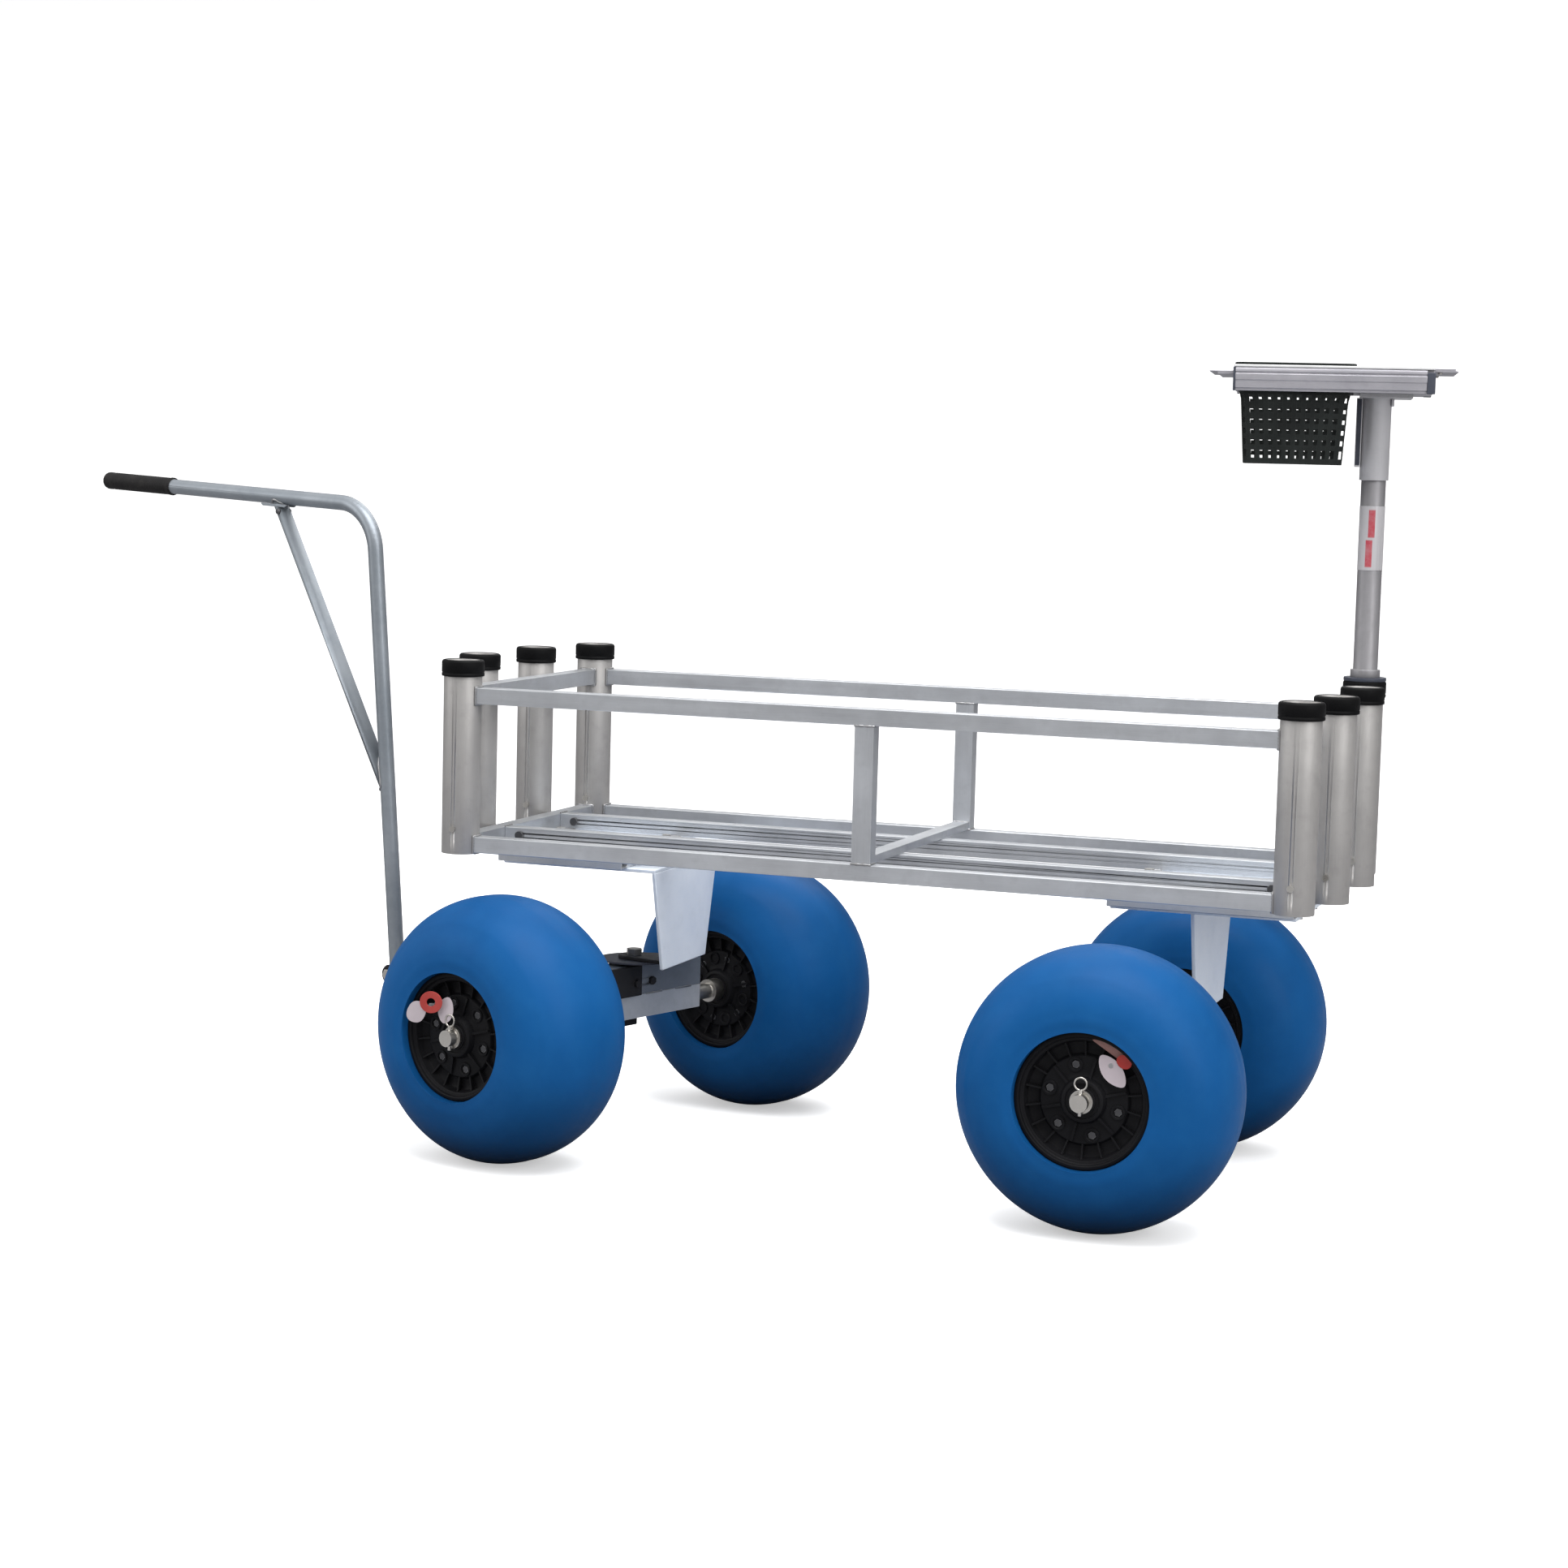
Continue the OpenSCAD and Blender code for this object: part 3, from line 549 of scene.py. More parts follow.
def turn_disc():
    """Slim round plate with chamfered rims, fixed to the front channel."""
    bore, flat, rim, chamfer = 0.0085, 0.0300, 0.0312, 0.0010
    low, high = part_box("turn_plate")
    x, y, _ = box_middle("turn_plate")
    mesh = bmesh.new()
    lathe(mesh, [(bore, low.z), (flat, low.z), (rim, low.z + chamfer),
                 (rim, high.z - chamfer), (flat, high.z), (bore, high.z)],
          64, Matrix.Translation((x, y, 0)))
    piece("turn_disc", mesh, "black_paint", "front_truck", "black_steel", angle=30,
          replaces="turn_plate")


def front_pedestal():
    """Folded plate behind the kingpin, and a dark foot that narrows round the kingpin; the dark of the foot and
    its gusset is painted shade, matching the shaded tyre behind them.
    """
    sheet = 0.006
    lap = 0.0005
    low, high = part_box("pedestal_front")
    pin_x, pin_y, _ = box_middle("thrust_washer")
    upright_x = high.x - sheet
    top = high.z - sheet
    # outline (y, z) extruded towards +X
    across = Matrix(((0, 0, 1, 0), (1, 0, 0, 0), (0, 1, 0, 0), (0, 0, 0, 1)))
    mesh = bmesh.new()
    prism(mesh, [(-0.093, low.z), (0.093, low.z), (0.136, top + lap), (-0.136, top + lap)],
          0.0, sheet, Matrix.Translation((upright_x, 0, 0)) @ across)
    add_box(mesh, (low.x, low.y, top), high)
    piece("pedestal_plate", mesh, "alu_plate", "frame", "frame_aluminium", angle=30,
          bevel=0.0015, segments=3, replaces="pedestal_front")

    back_x = upright_x + 0.0003
    nose_radius = 0.026
    foot = [(back_x, -0.050), (back_x, 0.050)]
    for i in range(17):
        angle = math.radians(90 + 180 * i / 16)
        foot.append((pin_x + nose_radius * math.cos(angle),
                     pin_y + nose_radius * math.sin(angle)))
    mesh = bmesh.new()
    prism(mesh, foot, low.z, low.z + sheet)
    # gusset: outline (x, z) extruded towards -Y, centred on y = 0
    along = Matrix(((1, 0, 0, 0), (0, 0, -1, 0), (0, 1, 0, 0), (0, 0, 0, 1)))
    gusset_x = upright_x - 0.034
    prism(mesh, [(back_x, low.z + sheet - lap), (gusset_x, low.z + sheet - lap),
                 (gusset_x, low.z + 0.012), (back_x, low.z + 0.090)],
          0.0, sheet, Matrix.Translation((0, sheet / 2, 0)) @ along)
    piece("pedestal_foot_painted_shade", mesh, "black_paint", "frame", "black_steel", angle=30,
          bevel=0.0012, segments=3)


turn_disc()
front_pedestal()


# ------------------------------------------------------------------ wheels
def wheel_frame(joint, side):
    """Wheel space: origin at the wheel middle, +Z outboard, +Y up."""
    outboard = Vector(joint["axis"]).normalized() * side
    up = Vector((0, 0, 1))
    across = up.cross(outboard).normalized()
    turn = Matrix((across, up, outboard)).transposed()
    return Matrix.Translation(Vector(joint["pos_m"])) @ turn.to_4x4()


WHEELS = {
    "fn": wheel_frame(JOINTS["spin_front_near"], -1),
    "ff": wheel_frame(JOINTS["spin_front_far"], 1),
    "rn": wheel_frame(JOINTS["spin_rear_near"], -1),
    "rf": wheel_frame(JOINTS["spin_rear_far"], 1),
}
TYRE_LOW, TYRE_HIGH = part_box("tyre_rn")
TYRE_RADIUS = (TYRE_HIGH.x - TYRE_LOW.x) / 2
TYRE_HALF_WIDTH = (TYRE_HIGH.y - TYRE_LOW.y) / 2
BEAD_RADIUS = 0.100
BALLOON = 0.099          # half the radial height of the balloon section
TYRE_WALL = 0.008
TREAD_FROM = 0.19        # beyond this radius is tread, inside it is sidewall
# moulded rings: place (radius on the sidewall, z on the tread), width, height
WALL_RINGS = [(0.1175, 0.0016, 0.0009), (0.1210, 0.0012, 0.0007), (0.1760, 0.0014, 0.0006)]
TREAD_RINGS = [(0.0, 0.0012, 0.0006), (0.045, 0.0011, 0.0005), (-0.045, 0.0011, 0.0005)]
# bead seat on the outboard side: radius, z
BEAD_SEAT = [(BEAD_RADIUS, 0.0975), (0.0922, 0.0970), (0.0862, 0.0842), (0.0862, 0.0805),
             (0.112, 0.0800)]


def superellipse(angle, half_x, half_y, power=2.22):
    cosine, sine = math.cos(angle), math.sin(angle)
    return (half_x * math.copysign(abs(cosine) ** (2 / power), cosine),
            half_y * math.copysign(abs(sine) ** (2 / power), sine))


def tyre_profile():
    """Closed (radius, z) loop: outside of the balloon, bead, and inside."""
    middle = TYRE_RADIUS - BALLOON
    steps = 120
    outside = []
    for i in range(steps + 1):
        x, z = superellipse(-math.pi + 2 * math.pi * i / steps, BALLOON, TYRE_HALF_WIDTH)
        radius = middle + x
        on_tread = radius > TREAD_FROM
        rings, place = (TREAD_RINGS, z) if on_tread else (WALL_RINGS, radius)
        relief = sum(height * math.exp(-((place - centre) / width) ** 2)
                     for centre, width, height in rings)
        # sidewall rings stand proud, tread rings are grooves
        if on_tread:
            radius -= relief * 0.8
        else:
            z += math.copysign(relief, z)
        if radius >= BEAD_RADIUS + 0.0022:
            outside.append((radius, z))
    # the outside runs from -z round the tread to +z, with a small lip at each end
    edge = outside[-1][1]
    lip = [(BEAD_RADIUS + 0.0009, edge + 0.0002), (BEAD_RADIUS + 0.0002, edge - 0.0015),
           (BEAD_RADIUS + 0.0006, edge - 0.004)]
    inside = []
    for i in range(40):
        x, z = superellipse(math.radians(80 - 160 * i / 39), BALLOON - TYRE_WALL,
                            TYRE_HALF_WIDTH - TYRE_WALL)
        if middle + x > 0.113:
            inside.append((middle + x, z))

    def mirrored(points):
        return [(radius, -z) for radius, z in reversed(points)]

    return mirrored(lip) + outside + lip + BEAD_SEAT + inside + mirrored(BEAD_SEAT)


TYRE_PROFILE = tyre_profile()


def tyre(wheel):
    mesh = bmesh.new()
    lathe(mesh, TYRE_PROFILE, 192, WHEELS[wheel])
    piece("tyre_skin_" + wheel, mesh, "tyre", "wheel_" + wheel, "tyre", angle=40,
          replaces="tyre_" + wheel)


# hub half: z is measured outboard from the wheel middle, depth inwards from the rim face
HUB_FACE = 0.105
HUB_BORE = 0.01276
# body behind the face: radius, z
HUB_BODY = [(HUB_BORE, 0.0), (0.034, 0.0), (0.034, 0.076), (0.0815, 0.076), (0.0815, 0.0),
            (0.0858, 0.0), (0.0858, 0.0838), (0.0918, 0.0968), (0.0995, 0.0968),
            (0.0998, 0.0975)]
# dished face from the rim in to the bore: radius, depth
HUB_DISH = [
    (0.0998, 0.0022), (0.0992, 0.0007), (0.0978, 0.0000), (0.0942, 0.0000), (0.0931, 0.0006),
    (0.0924, 0.0022), (0.0920, 0.0050), (0.0908, 0.0062), (0.0882, 0.0066), (0.0872, 0.0072),
    (0.0864, 0.0100), (0.0846, 0.0165), (0.0832, 0.0185), (0.0800, 0.0196), (0.0690, 0.0200),
    (0.0672, 0.0195), (0.0660, 0.0180), (0.0648, 0.0150), (0.0634, 0.0138), (0.0600, 0.0134),
    (0.0430, 0.0130), (0.0380, 0.0126), (0.0345, 0.0110), (0.0320, 0.0050), (0.0306, 0.0022),
    (0.0290, 0.0012), (0.0262, 0.0010), (0.0252, 0.0016), (0.0246, 0.0034), (0.0200, 0.0036),
    (0.0192, 0.0014), (0.0180, 0.0010), (0.0140, 0.0010), (HUB_BORE, 0.0018)]
# ribs across the channel, and webs between the bolt pads: radius, depth
CHANNEL_RIB = [(0.0642, 0.0210), (0.0860, 0.0210), (0.0856, 0.0095), (0.0820, 0.0110),
               (0.0680, 0.0130), (0.0642, 0.0138)]
PAD_WEB = [(0.0335, 0.0160), (0.0640, 0.0160), (0.0630, 0.0112), (0.0560, 0.0098),
           (0.0380, 0.0078), (0.0335, 0.0066)]
# bolt pad ring, open in the middle so the bolt head shows sunk in it: radius, depth
BOLT_PAD = [(0.0072, 0.0170), (0.0108, 0.0170), (0.0108, 0.0116), (0.0102, 0.0108),
            (0.0080, 0.0108), (0.0072, 0.0116)]
BOLT_CIRCLE = 0.052


def from_face(points):
    return [(radius, HUB_FACE - depth) for radius, depth in points]


def radial_rib(mesh, placement, angle, outline, half_width):
    turn = Matrix.Rotation(angle, 4, "Z")
    sides = [[placement @ (turn @ Vector((radius, y, z))) for radius, z in from_face(outline)]
             for y in (-half_width, half_width)]
    loft(mesh, *sides)


def hub_half(wheel, name, placement):
    """Dished moulded hub half: stepped rim, ribbed channel, bolt pads, boss."""
    mesh = bmesh.new()
    lathe(mesh, HUB_BODY + from_face(HUB_DISH), 144, placement)
    for i in range(18):
        radial_rib(mesh, placement, 2 * math.pi * (i + 0.5) / 18, CHANNEL_RIB, 0.0011)
    for i in range(6):
        pad = (placement @ Matrix.Rotation(math.radians(60 * i + 45), 4, "Z")
               @ Matrix.Translation((BOLT_CIRCLE, 0, 0)))
        lathe(mesh, from_face(BOLT_PAD), 28, pad)
        radial_rib(mesh, placement, math.radians(60 * i + 15), PAD_WEB, 0.0016)
    piece(name + "skin_" + wheel, mesh, "hub", "wheel_" + wheel, "hub", angle=28,
          replaces=name + wheel)


for wheel, placement in WHEELS.items():
    tyre(wheel)
    hub_half(wheel, "hub_out_", placement)
    hub_half(wheel, "hub_in_", placement @ Matrix.Rotation(math.pi, 4, "X"))


# ------------------------------------------------------------------ valves and tags
# stem with a wider cap: radius, z
VALVE_STEM = [(0, 0), (0.0048, 0), (0.0048, 0.004), (0.0040, 0.005), (0.0030, 0.0055),
              (0.0030, 0.012), (0.0036, 0.0125), (0.0038, 0.0178), (0.0032, 0.0188), (0, 0.0188)]
VALVE_RADIUS, VALVE_Z = 0.068, 0.0850


def valve_stem(wheel, degrees):
    mesh = bmesh.new()
    placement = (WHEELS[wheel] @ Matrix.Rotation(math.radians(degrees), 4, "Z")
                 @ Matrix.Translation((VALVE_RADIUS, 0, VALVE_Z)))
    lathe(mesh, VALVE_STEM, 24, placement, closed=False)
    merge_poles(mesh)
    piece("valve_stem_" + wheel, mesh, "valve", "wheel_" + wheel, "valve",
          replaces="valve_" + wheel)


def tag_place(wheel, x, y, z, degrees):
    """Tag space: a place in wheel space, turned about the wheel axis direction."""
    return (WHEELS[wheel] @ Matrix.Translation((x, y, z))
            @ Matrix.Rotation(math.radians(degrees), 4, "Z"))


def oval(half_x, half_y, count=28, pinch=0.0):
    """Ellipse whose x is drawn in towards the two ends of y."""
    points = []
    for i in range(count):
        angle = 2 * math.pi * i / count
        squeeze = 1 - pinch * math.sin(angle) ** 2
        points.append((half_x * math.cos(angle) * squeeze, half_y * math.sin(angle)))
    return points


def card(letter, wheel, look, outline, place, bend, thickness=0.0006):
    """Thin card from an (x, y) outline round its middle; bend(x, y) gives its height."""
    placement = tag_place(wheel, *place)
    mesh = bmesh.new()
    count = len(outline)
    skins = []
    for lift in (0.0, thickness):
        layers = [[mesh.verts.new(placement @ Vector(
            (x * scale, y * scale, bend(x * scale, y * scale) + lift))) for x, y in outline]
            for scale in (1.0, 0.66, 0.33)]
        middle = mesh.verts.new(placement @ Vector((0, 0, bend(0, 0) + lift)))
        skins.append((layers, middle))
    for upper, (layers, middle) in enumerate(skins):
        for outer, inner in zip(layers, layers[1:]):
            for i in range(count):
                j = (i + 1) % count
                if upper:
                    mesh.faces.new((outer[i], outer[j], inner[j], inner[i]))
                else:
                    mesh.faces.new((outer[i], inner[i], inner[j], outer[j]))
        last = layers[-1]
        for i in range(count):
            j = (i + 1) % count
            mesh.faces.new((last[i], last[j], middle) if upper else (last[j], last[i], middle))
    lower, upper = skins[0][0][0], skins[1][0][0]
    for i in range(count):
        j = (i + 1) % count
        mesh.faces.new((lower[i], lower[j], upper[j], upper[i]))
    piece(f"tag_{letter}_{wheel}", mesh, look, "wheel_" + wheel, "valve")


def front_tags():
    card("a", "fn", "tag", oval(0.0225, 0.0165, pinch=0.2), (-0.0660, 0.0330, 0.1190, 28),
         lambda x, y: 0.0010 * math.cos(y * 70))
    card("b", "fn", "tag", oval(0.0160, 0.0215, pinch=0.2), (-0.0100, 0.0415, 0.1120, -18),
         lambda x, y: 0.0014 * math.cos(y * 70))
    # flat red ring, stretched to an oval; profile is radius, z
    ring = [(0.0085, 0.0), (0.0205, 0.0), (0.0212, 0.0006), (0.0205, 0.0012),
            (0.0085, 0.0012), (0.0079, 0.0006)]
    mesh = bmesh.new()
    lathe(mesh, ring, 36, tag_place("fn", -0.0340, 0.0520, 0.1205, 10)
          @ Matrix.Diagonal((1.15, 0.80, 1.0, 1.0)))
    piece("tag_c_fn", mesh, "tag_red", "wheel_fn", "valve")


def rear_tags():
    length, width = 0.070, 0.0140
    strip = rounded_rectangle(length / 2, width / 2, width * 0.35, 4)
    card("a", "rn", "tag", oval(0.0150, 0.0275, pinch=0.25), (0.0420, 0.0470, 0.1010, 40),
         lambda x, y: 0.0016 * math.cos(y * 60))
    card("b", "rn", "tag_worn", strip, (0.0370, 0.0800, 0.0985, -32),
         lambda x, y: 0.0022 * math.cos(x * 45) - 0.0012)
    card("c", "rn", "tag_red", oval(0.0115, 0.0095, count=20), (0.0590, 0.0620, 0.1035, -30),
         lambda x, y: 0.0)


valve_stem("fn", 142)
front_tags()
valve_stem("rn", 54)
rear_tags()

# ------------------------------------------------------------------ holder mouth collars
HOLDER_RADIUS = 0.030
COLLAR_RADIUS = 0.0335
BOARD_SWIVEL = Vector(JOINTS["board_swivel"]["pos_m"])


def holder(name):
    return Vector(MOUNTS["holder_" + name]["pos_m"])


# each row runs from the near side to the far side
FRONT_HOLDERS = [holder("front_near_corner"), holder("front_near_middle"),
                 holder("front_far_middle"), holder("front_far_corner")]
REAR_HOLDERS = [holder("rear_near_corner"), holder("rear_near_middle"),
                holder("rear_far_middle"), BOARD_SWIVEL]


def mouth_collars(name, node, holders):
    """Grooved collars round the holder tops, with a lip turned in over the mouth."""
    low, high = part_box(node)
    inner, outer, z0, z1 = HOLDER_RADIUS, COLLAR_RADIUS, low.z, high.z
    profile = [
        (inner, z0), (outer - 0.0012, z0), (outer - 0.0004, z0 + 0.0004),
        (outer, z0 + 0.0014), (outer, z0 + 0.0045), (outer - 0.0007, z0 + 0.0052),
        (outer - 0.0007, z0 + 0.0060), (outer, z0 + 0.0067), (outer, z1 - 0.0030),
        (outer - 0.0006, z1 - 0.0012), (outer - 0.0022, z1 + 0.0004),
        (inner - 0.0012, z1 + 0.0010), (inner - 0.0026, z1 + 0.0004),
        (inner - 0.0029, z1 + 0.0001), (inner, z1 + 0.0001)]
    mesh = bmesh.new()
    for place in holders:
        lathe(mesh, profile, 72, Matrix.Translation((place.x, place.y, 0)))
    piece(name, mesh, "cap", "frame", "cap_rubber", angle=50, replaces=node)


mouth_collars("mouth_collars_front", "caps_front", FRONT_HOLDERS)
mouth_collars("mouth_collars_rear", "caps_rear", REAR_HOLDERS)

# ------------------------------------------------------------------ frame weld beads
HALF_TUBE = 0.0127  # half the side of the square frame tube
TUBE = 2 * HALF_TUBE
RAILS_LOW, RAILS_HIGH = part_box("side_rails")
LOWER_Z, UPPER_Z = RAILS_LOW.z + HALF_TUBE, RAILS_HIGH.z - HALF_TUBE
RAIL_HEIGHTS = (LOWER_Z, UPPER_Z)
ENDS_LOW, ENDS_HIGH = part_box("end_rails")
FRONT_X, REAR_X = ENDS_LOW.x + HALF_TUBE, ENDS_HIGH.x - HALF_TUBE


def rail_to_holder(mesh, place, axis, sign):
    """Beads where rails along X (axis 0) or Y (axis 1) meet a holder on its sign side."""
    half = HALF_TUBE + 0.0006
    for z in RAIL_HEIGHTS:
        path = []
        for across, rise in rectangle_loop(half, half, 12):
            point = [place.x, place.y, z + rise]
            point[axis] += sign * (math.sqrt(HOLDER_RADIUS ** 2 - across * across) + 0.0008)
            point[1 - axis] += across
            path.append(point)
        sweep(mesh, path, radius=0.0021, ripple=0.22, closed=True)


def holder_welds(mesh):
    for place, sign in ((FRONT_HOLDERS[0], 1), (FRONT_HOLDERS[3], 1),
                        (REAR_HOLDERS[0], -1), (REAR_HOLDERS[3], -1)):
        rail_to_holder(mesh, place, 0, sign)
    for place, sign in ((FRONT_HOLDERS[0], 1), (FRONT_HOLDERS[3], -1)):
        rail_to_holder(mesh, place, 1, sign)
    # middle holders lie against the end rails, with an upright bead each side of the touch
    spread = 0.0065
    reach = math.sqrt(HOLDER_RADIUS ** 2 - spread ** 2)
    for holders, sign, rail_x in ((FRONT_HOLDERS, 1, FRONT_X - HALF_TUBE),
                                  (REAR_HOLDERS, -1, REAR_X + HALF_TUBE)):
        for place in holders[1:3]:
            x = (place.x + sign * reach + rail_x) / 2
            for z in RAIL_HEIGHTS:
                for side in (-1, 1):
                    y = place.y + side * spread
                    straight_bead(mesh, (x, y, z - HALF_TUBE), (x, y, z + HALF_TUBE), 0.0022)


def mid_post_welds(mesh):
    low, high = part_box("mid_posts")
    x, half_x = (low.x + high.x) / 2, (high.x - low.x) / 2
    for side in (-1, 1):
        y = CENTRE.y + side * (high.y - CENTRE.y - HALF_TUBE)
        for z in (low.z + 0.0004, high.z - 0.0004):
            path = [(x + step_x, y + step_y, z)
                    for step_x, step_y in rectangle_loop(half_x, HALF_TUBE, 10)]
            sweep(mesh, path, radius=0.0017, ripple=0.22, closed=True)


def deck_welds(mesh):
    low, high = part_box("deck_slats")
    # ends of the outer slats, on top
    z = LOWER_Z + HALF_TUBE + 0.0002
    for y in (low.y + HALF_TUBE, high.y - HALF_TUBE):
        for x in (low.x + 0.0004, high.x - 0.0004):
            straight_bead(mesh, (x, y - HALF_TUBE, z), (x, y + HALF_TUBE, z), 0.0018)
    # rear end rail to the side rails
    x0 = REAR_X - HALF_TUBE
    x1 = x0 + TUBE * 5 / 9
    for side in (-1, 1):
        y = CENTRE.y + side * (RAILS_HIGH.y - CENTRE.y - TUBE - 0.0003)
        for z in RAIL_HEIGHTS:
            for face_z in (z + HALF_TUBE + 0.0002, z - HALF_TUBE - 0.0002):
                straight_bead(mesh, (x0, y, face_z), (x1, y, face_z), 0.0016, steps=5)
    # low cross bar ends
    bar_low, bar_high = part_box("mid_bar")
    for y in (bar_low.y + 0.0004, bar_high.y - 0.0004):
        straight_bead(mesh, (bar_low.x, y, bar_high.z), (bar_high.x, y, bar_high.z), 0.0016)
    # cross tubes of the subframes to the slats
    inset = 0.002
    for node in ("subframe_front", "subframe_rear"):
        sub_low, sub_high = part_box(node)
        z = sub_high.z + 0.0002
        for y in (low.y, low.y + TUBE, high.y - TUBE, high.y):
            for x in (sub_low.x + inset, sub_high.x - TUBE + inset):
                straight_bead(mesh, (x, y, z), (x + TUBE - 2 * inset, y, z), 0.0015, steps=10)


def frame_welds():
    mesh = bmesh.new()
    holder_welds(mesh)
    mid_post_welds(mesh)
    deck_welds(mesh)
    piece("frame_weld_beads", mesh, "weld", "frame", "frame_aluminium", angle=60)


def axle_welds(name, placement, body):
    """Four stitches along each side of an axle beam lying along Y."""
    half_beam, z = 0.0188, 0.2292
    first, pitch, length = -0.14, 0.075, 0.04
    mesh = bmesh.new()
    for x in (-half_beam, half_beam):
        for i in range(4):
            y = first + i * pitch
            straight_bead(mesh, (x, y, z), (x, y + length, z), 0.0016, steps=10,
                          placement=placement)
    piece(name, mesh, "weld", body, "frame_aluminium", angle=60)


frame_welds()
axle_welds("truck_weld_beads", TRUCK, "front_truck")
REAR_AXLE_X = JOINTS["spin_rear_near"]["pos_m"][0]
axle_welds("rear_axle_weld_beads", Matrix.Translation((REAR_AXLE_X, CENTRE.y, 0)), "frame")

# ------------------------------------------------------------------ handle
# in truck space: a shaft leans forward from its foot to a corner, then the arm runs forward
LEAN, ARM_RISE = math.radians(5.26), math.radians(2.2)
SHAFT_FOOT = Vector((-0.54257, 0, 0.195))
FOOT_REACH, FOOT_Z = 0.54257, 0.195
CORNER_Z = 1.008
CORNER_REACH = FOOT_REACH + (CORNER_Z - FOOT_Z) * math.tan(LEAN)
CORNER = Vector((-CORNER_REACH, 0, CORNER_Z))
SHAFT_DIRECTION = Vector((-math.sin(LEAN), 0, math.cos(LEAN)))
ARM_DIRECTION = Vector((-math.cos(ARM_RISE), 0, math.sin(ARM_RISE)))
ARM_LENGTH = 0.703
HANDLE_RADIUS, BRACE_RADIUS = 0.01335, 0.0124
BRACE_FOOT_Z, BRACE_TOP_REACH = 0.515, 0.858
BRACE_FOOT = Vector((-(FOOT_REACH + (BRACE_FOOT_Z - FOOT_Z) * math.tan(LEAN)), 0, BRACE_FOOT_Z))
BRACE_TOP = Vector((-BRACE_TOP_REACH, 0,
                    CORNER_Z + (BRACE_TOP_REACH - CORNER_REACH) * math.tan(ARM_RISE)))
BRACE_DIRECTION = (BRACE_TOP - BRACE_FOOT).normalized()
# arm space: origin at the corner, +Z along the arm, +X up
ARM_TURN = Matrix((Vector((math.sin(ARM_RISE), 0, math.cos(ARM_RISE))),
                   Vector((0, 1, 0)), ARM_DIRECTION)).transposed().to_4x4()
ARM = TRUCK @ Matrix.Translation(CORNER) @ ARM_TURN


def grip():
    """Ribbed sleeve with a flange at its inner end and a closed outer end."""
    ribs, rib_height, steps_per_rib = 48, 0.00045, 4
    start, end = ARM_LENGTH - 0.184, ARM_LENGTH
    profile = [(0.0134, start), (0.0150, start), (0.0160, start + 0.0007),
               (0.0164, start + 0.0018), (0.0164, start + 0.0050), (0.0160, start + 0.0062),
               (0.0154, start + 0.0068)]
    steps = ribs * steps_per_rib
    for i in range(steps + 1):
        part = i / steps
        rib = 0.0
        if 0.04 < part < 0.96:
            rib = rib_height * (0.5 + 0.5 * math.cos(2 * math.pi * part * ribs))
        profile.append((0.0152 + rib, start + 0.0075 + part * 0.160))
    profile += [(0.0157, end - 0.0145), (0.0158, end - 0.0080), (0.0155, end - 0.0045),
                (0.0146, end - 0.0018), (0.0128, end - 0.0004), (0.0090, end), (0.0, end),
                (0.0, end - 0.0058), (0.0134, end - 0.0058)]
    mesh = bmesh.new()
    lathe(mesh, profile, 56, ARM)
    merge_poles(mesh)
    piece("handle_grip_skin", mesh, "grip", "handle", "grip_rubber", angle=60,
          replaces="handle_grip")


def brace_ring(tube_point, tube_direction, start, sign):
    """Closed path where the brace comes out of a handle tube."""
    lift, stride = 0.0004, 0.0003
    side = Vector((0, 1, 0))
    up = BRACE_DIRECTION.cross(side).normalized()
    path = []
    for i in range(40):
        angle = 2 * math.pi * i / 40
        out = up * math.cos(angle) + side * math.sin(angle)
        origin = start + out * (BRACE_RADIUS + lift)
        # march along the brace until outside the tube
        travelled = 0.0
        for _ in range(400):
            offset = origin + BRACE_DIRECTION * sign * travelled - tube_point
            clear = offset - tube_direction * offset.dot(tube_direction)
            if clear.length > HANDLE_RADIUS + lift:
                break
            travelled += stride
        path.append(TRUCK @ (origin + BRACE_DIRECTION * sign * travelled))
    return path


def handle_welds():
    mesh = bmesh.new()
    for path in (brace_ring(SHAFT_FOOT, SHAFT_DIRECTION, BRACE_FOOT, 1),
                 brace_ring(CORNER, ARM_DIRECTION, BRACE_TOP, -1)):
        sweep(mesh, path, radius=0.0019, ripple=0.2, closed=True, sides=8)
    piece("handle_weld_beads", mesh, "weld", "handle", "frame_aluminium"
          .replace("frame", "handle"), angle=60)


def brace_saddle():
    """Pair of small strips under the arm, either side of the brace top."""
    along = (BRACE_TOP_REACH - CORNER_REACH) / math.cos(ARM_RISE)
    # x (up), z (along the arm)
    outline = [(-0.0175, along - 0.030), (-0.0175, along + 0.026), (-0.0145, along + 0.030),
               (-0.0128, along + 0.030), (-0.0128, along - 0.034), (-0.0150, along - 0.034)]
    mesh = bmesh.new()
    for side in (-1, 1):
        loft(mesh, *[[ARM @ Vector((x, y, z)) for x, z in outline]
                     for y in (side * 0.0100, side * 0.0128)])
    piece("brace_saddle", mesh, "alu_handle", "handle", "handle_aluminium", angle=25,
          bevel=0.0006)


def brace_bolt():
    """Domed bolt head on each side of the brace, just below its top."""
    # radius, distance from the middle of the brace
    head = [(0, 0.0100), (0.0052, 0.0100), (0.0052, 0.0142), (0.0046, 0.0152),
            (0.0030, 0.0158), (0, 0.0160)]
    middle = (TRUCK @ Matrix.Translation(BRACE_TOP - BRACE_DIRECTION * 0.030)
              @ Matrix.Rotation(math.pi / 2, 4, "X"))
    mesh = bmesh.new()
    for placement in (middle @ Matrix.Rotation(math.pi, 4, "X"), middle):
        lathe(mesh, head, 24, placement, closed=False)
    merge_poles(mesh)
    piece("brace_bolt", mesh, "dark_steel", "handle", "dark_fastener")


grip()
handle_welds()
brace_saddle()
brace_bolt()

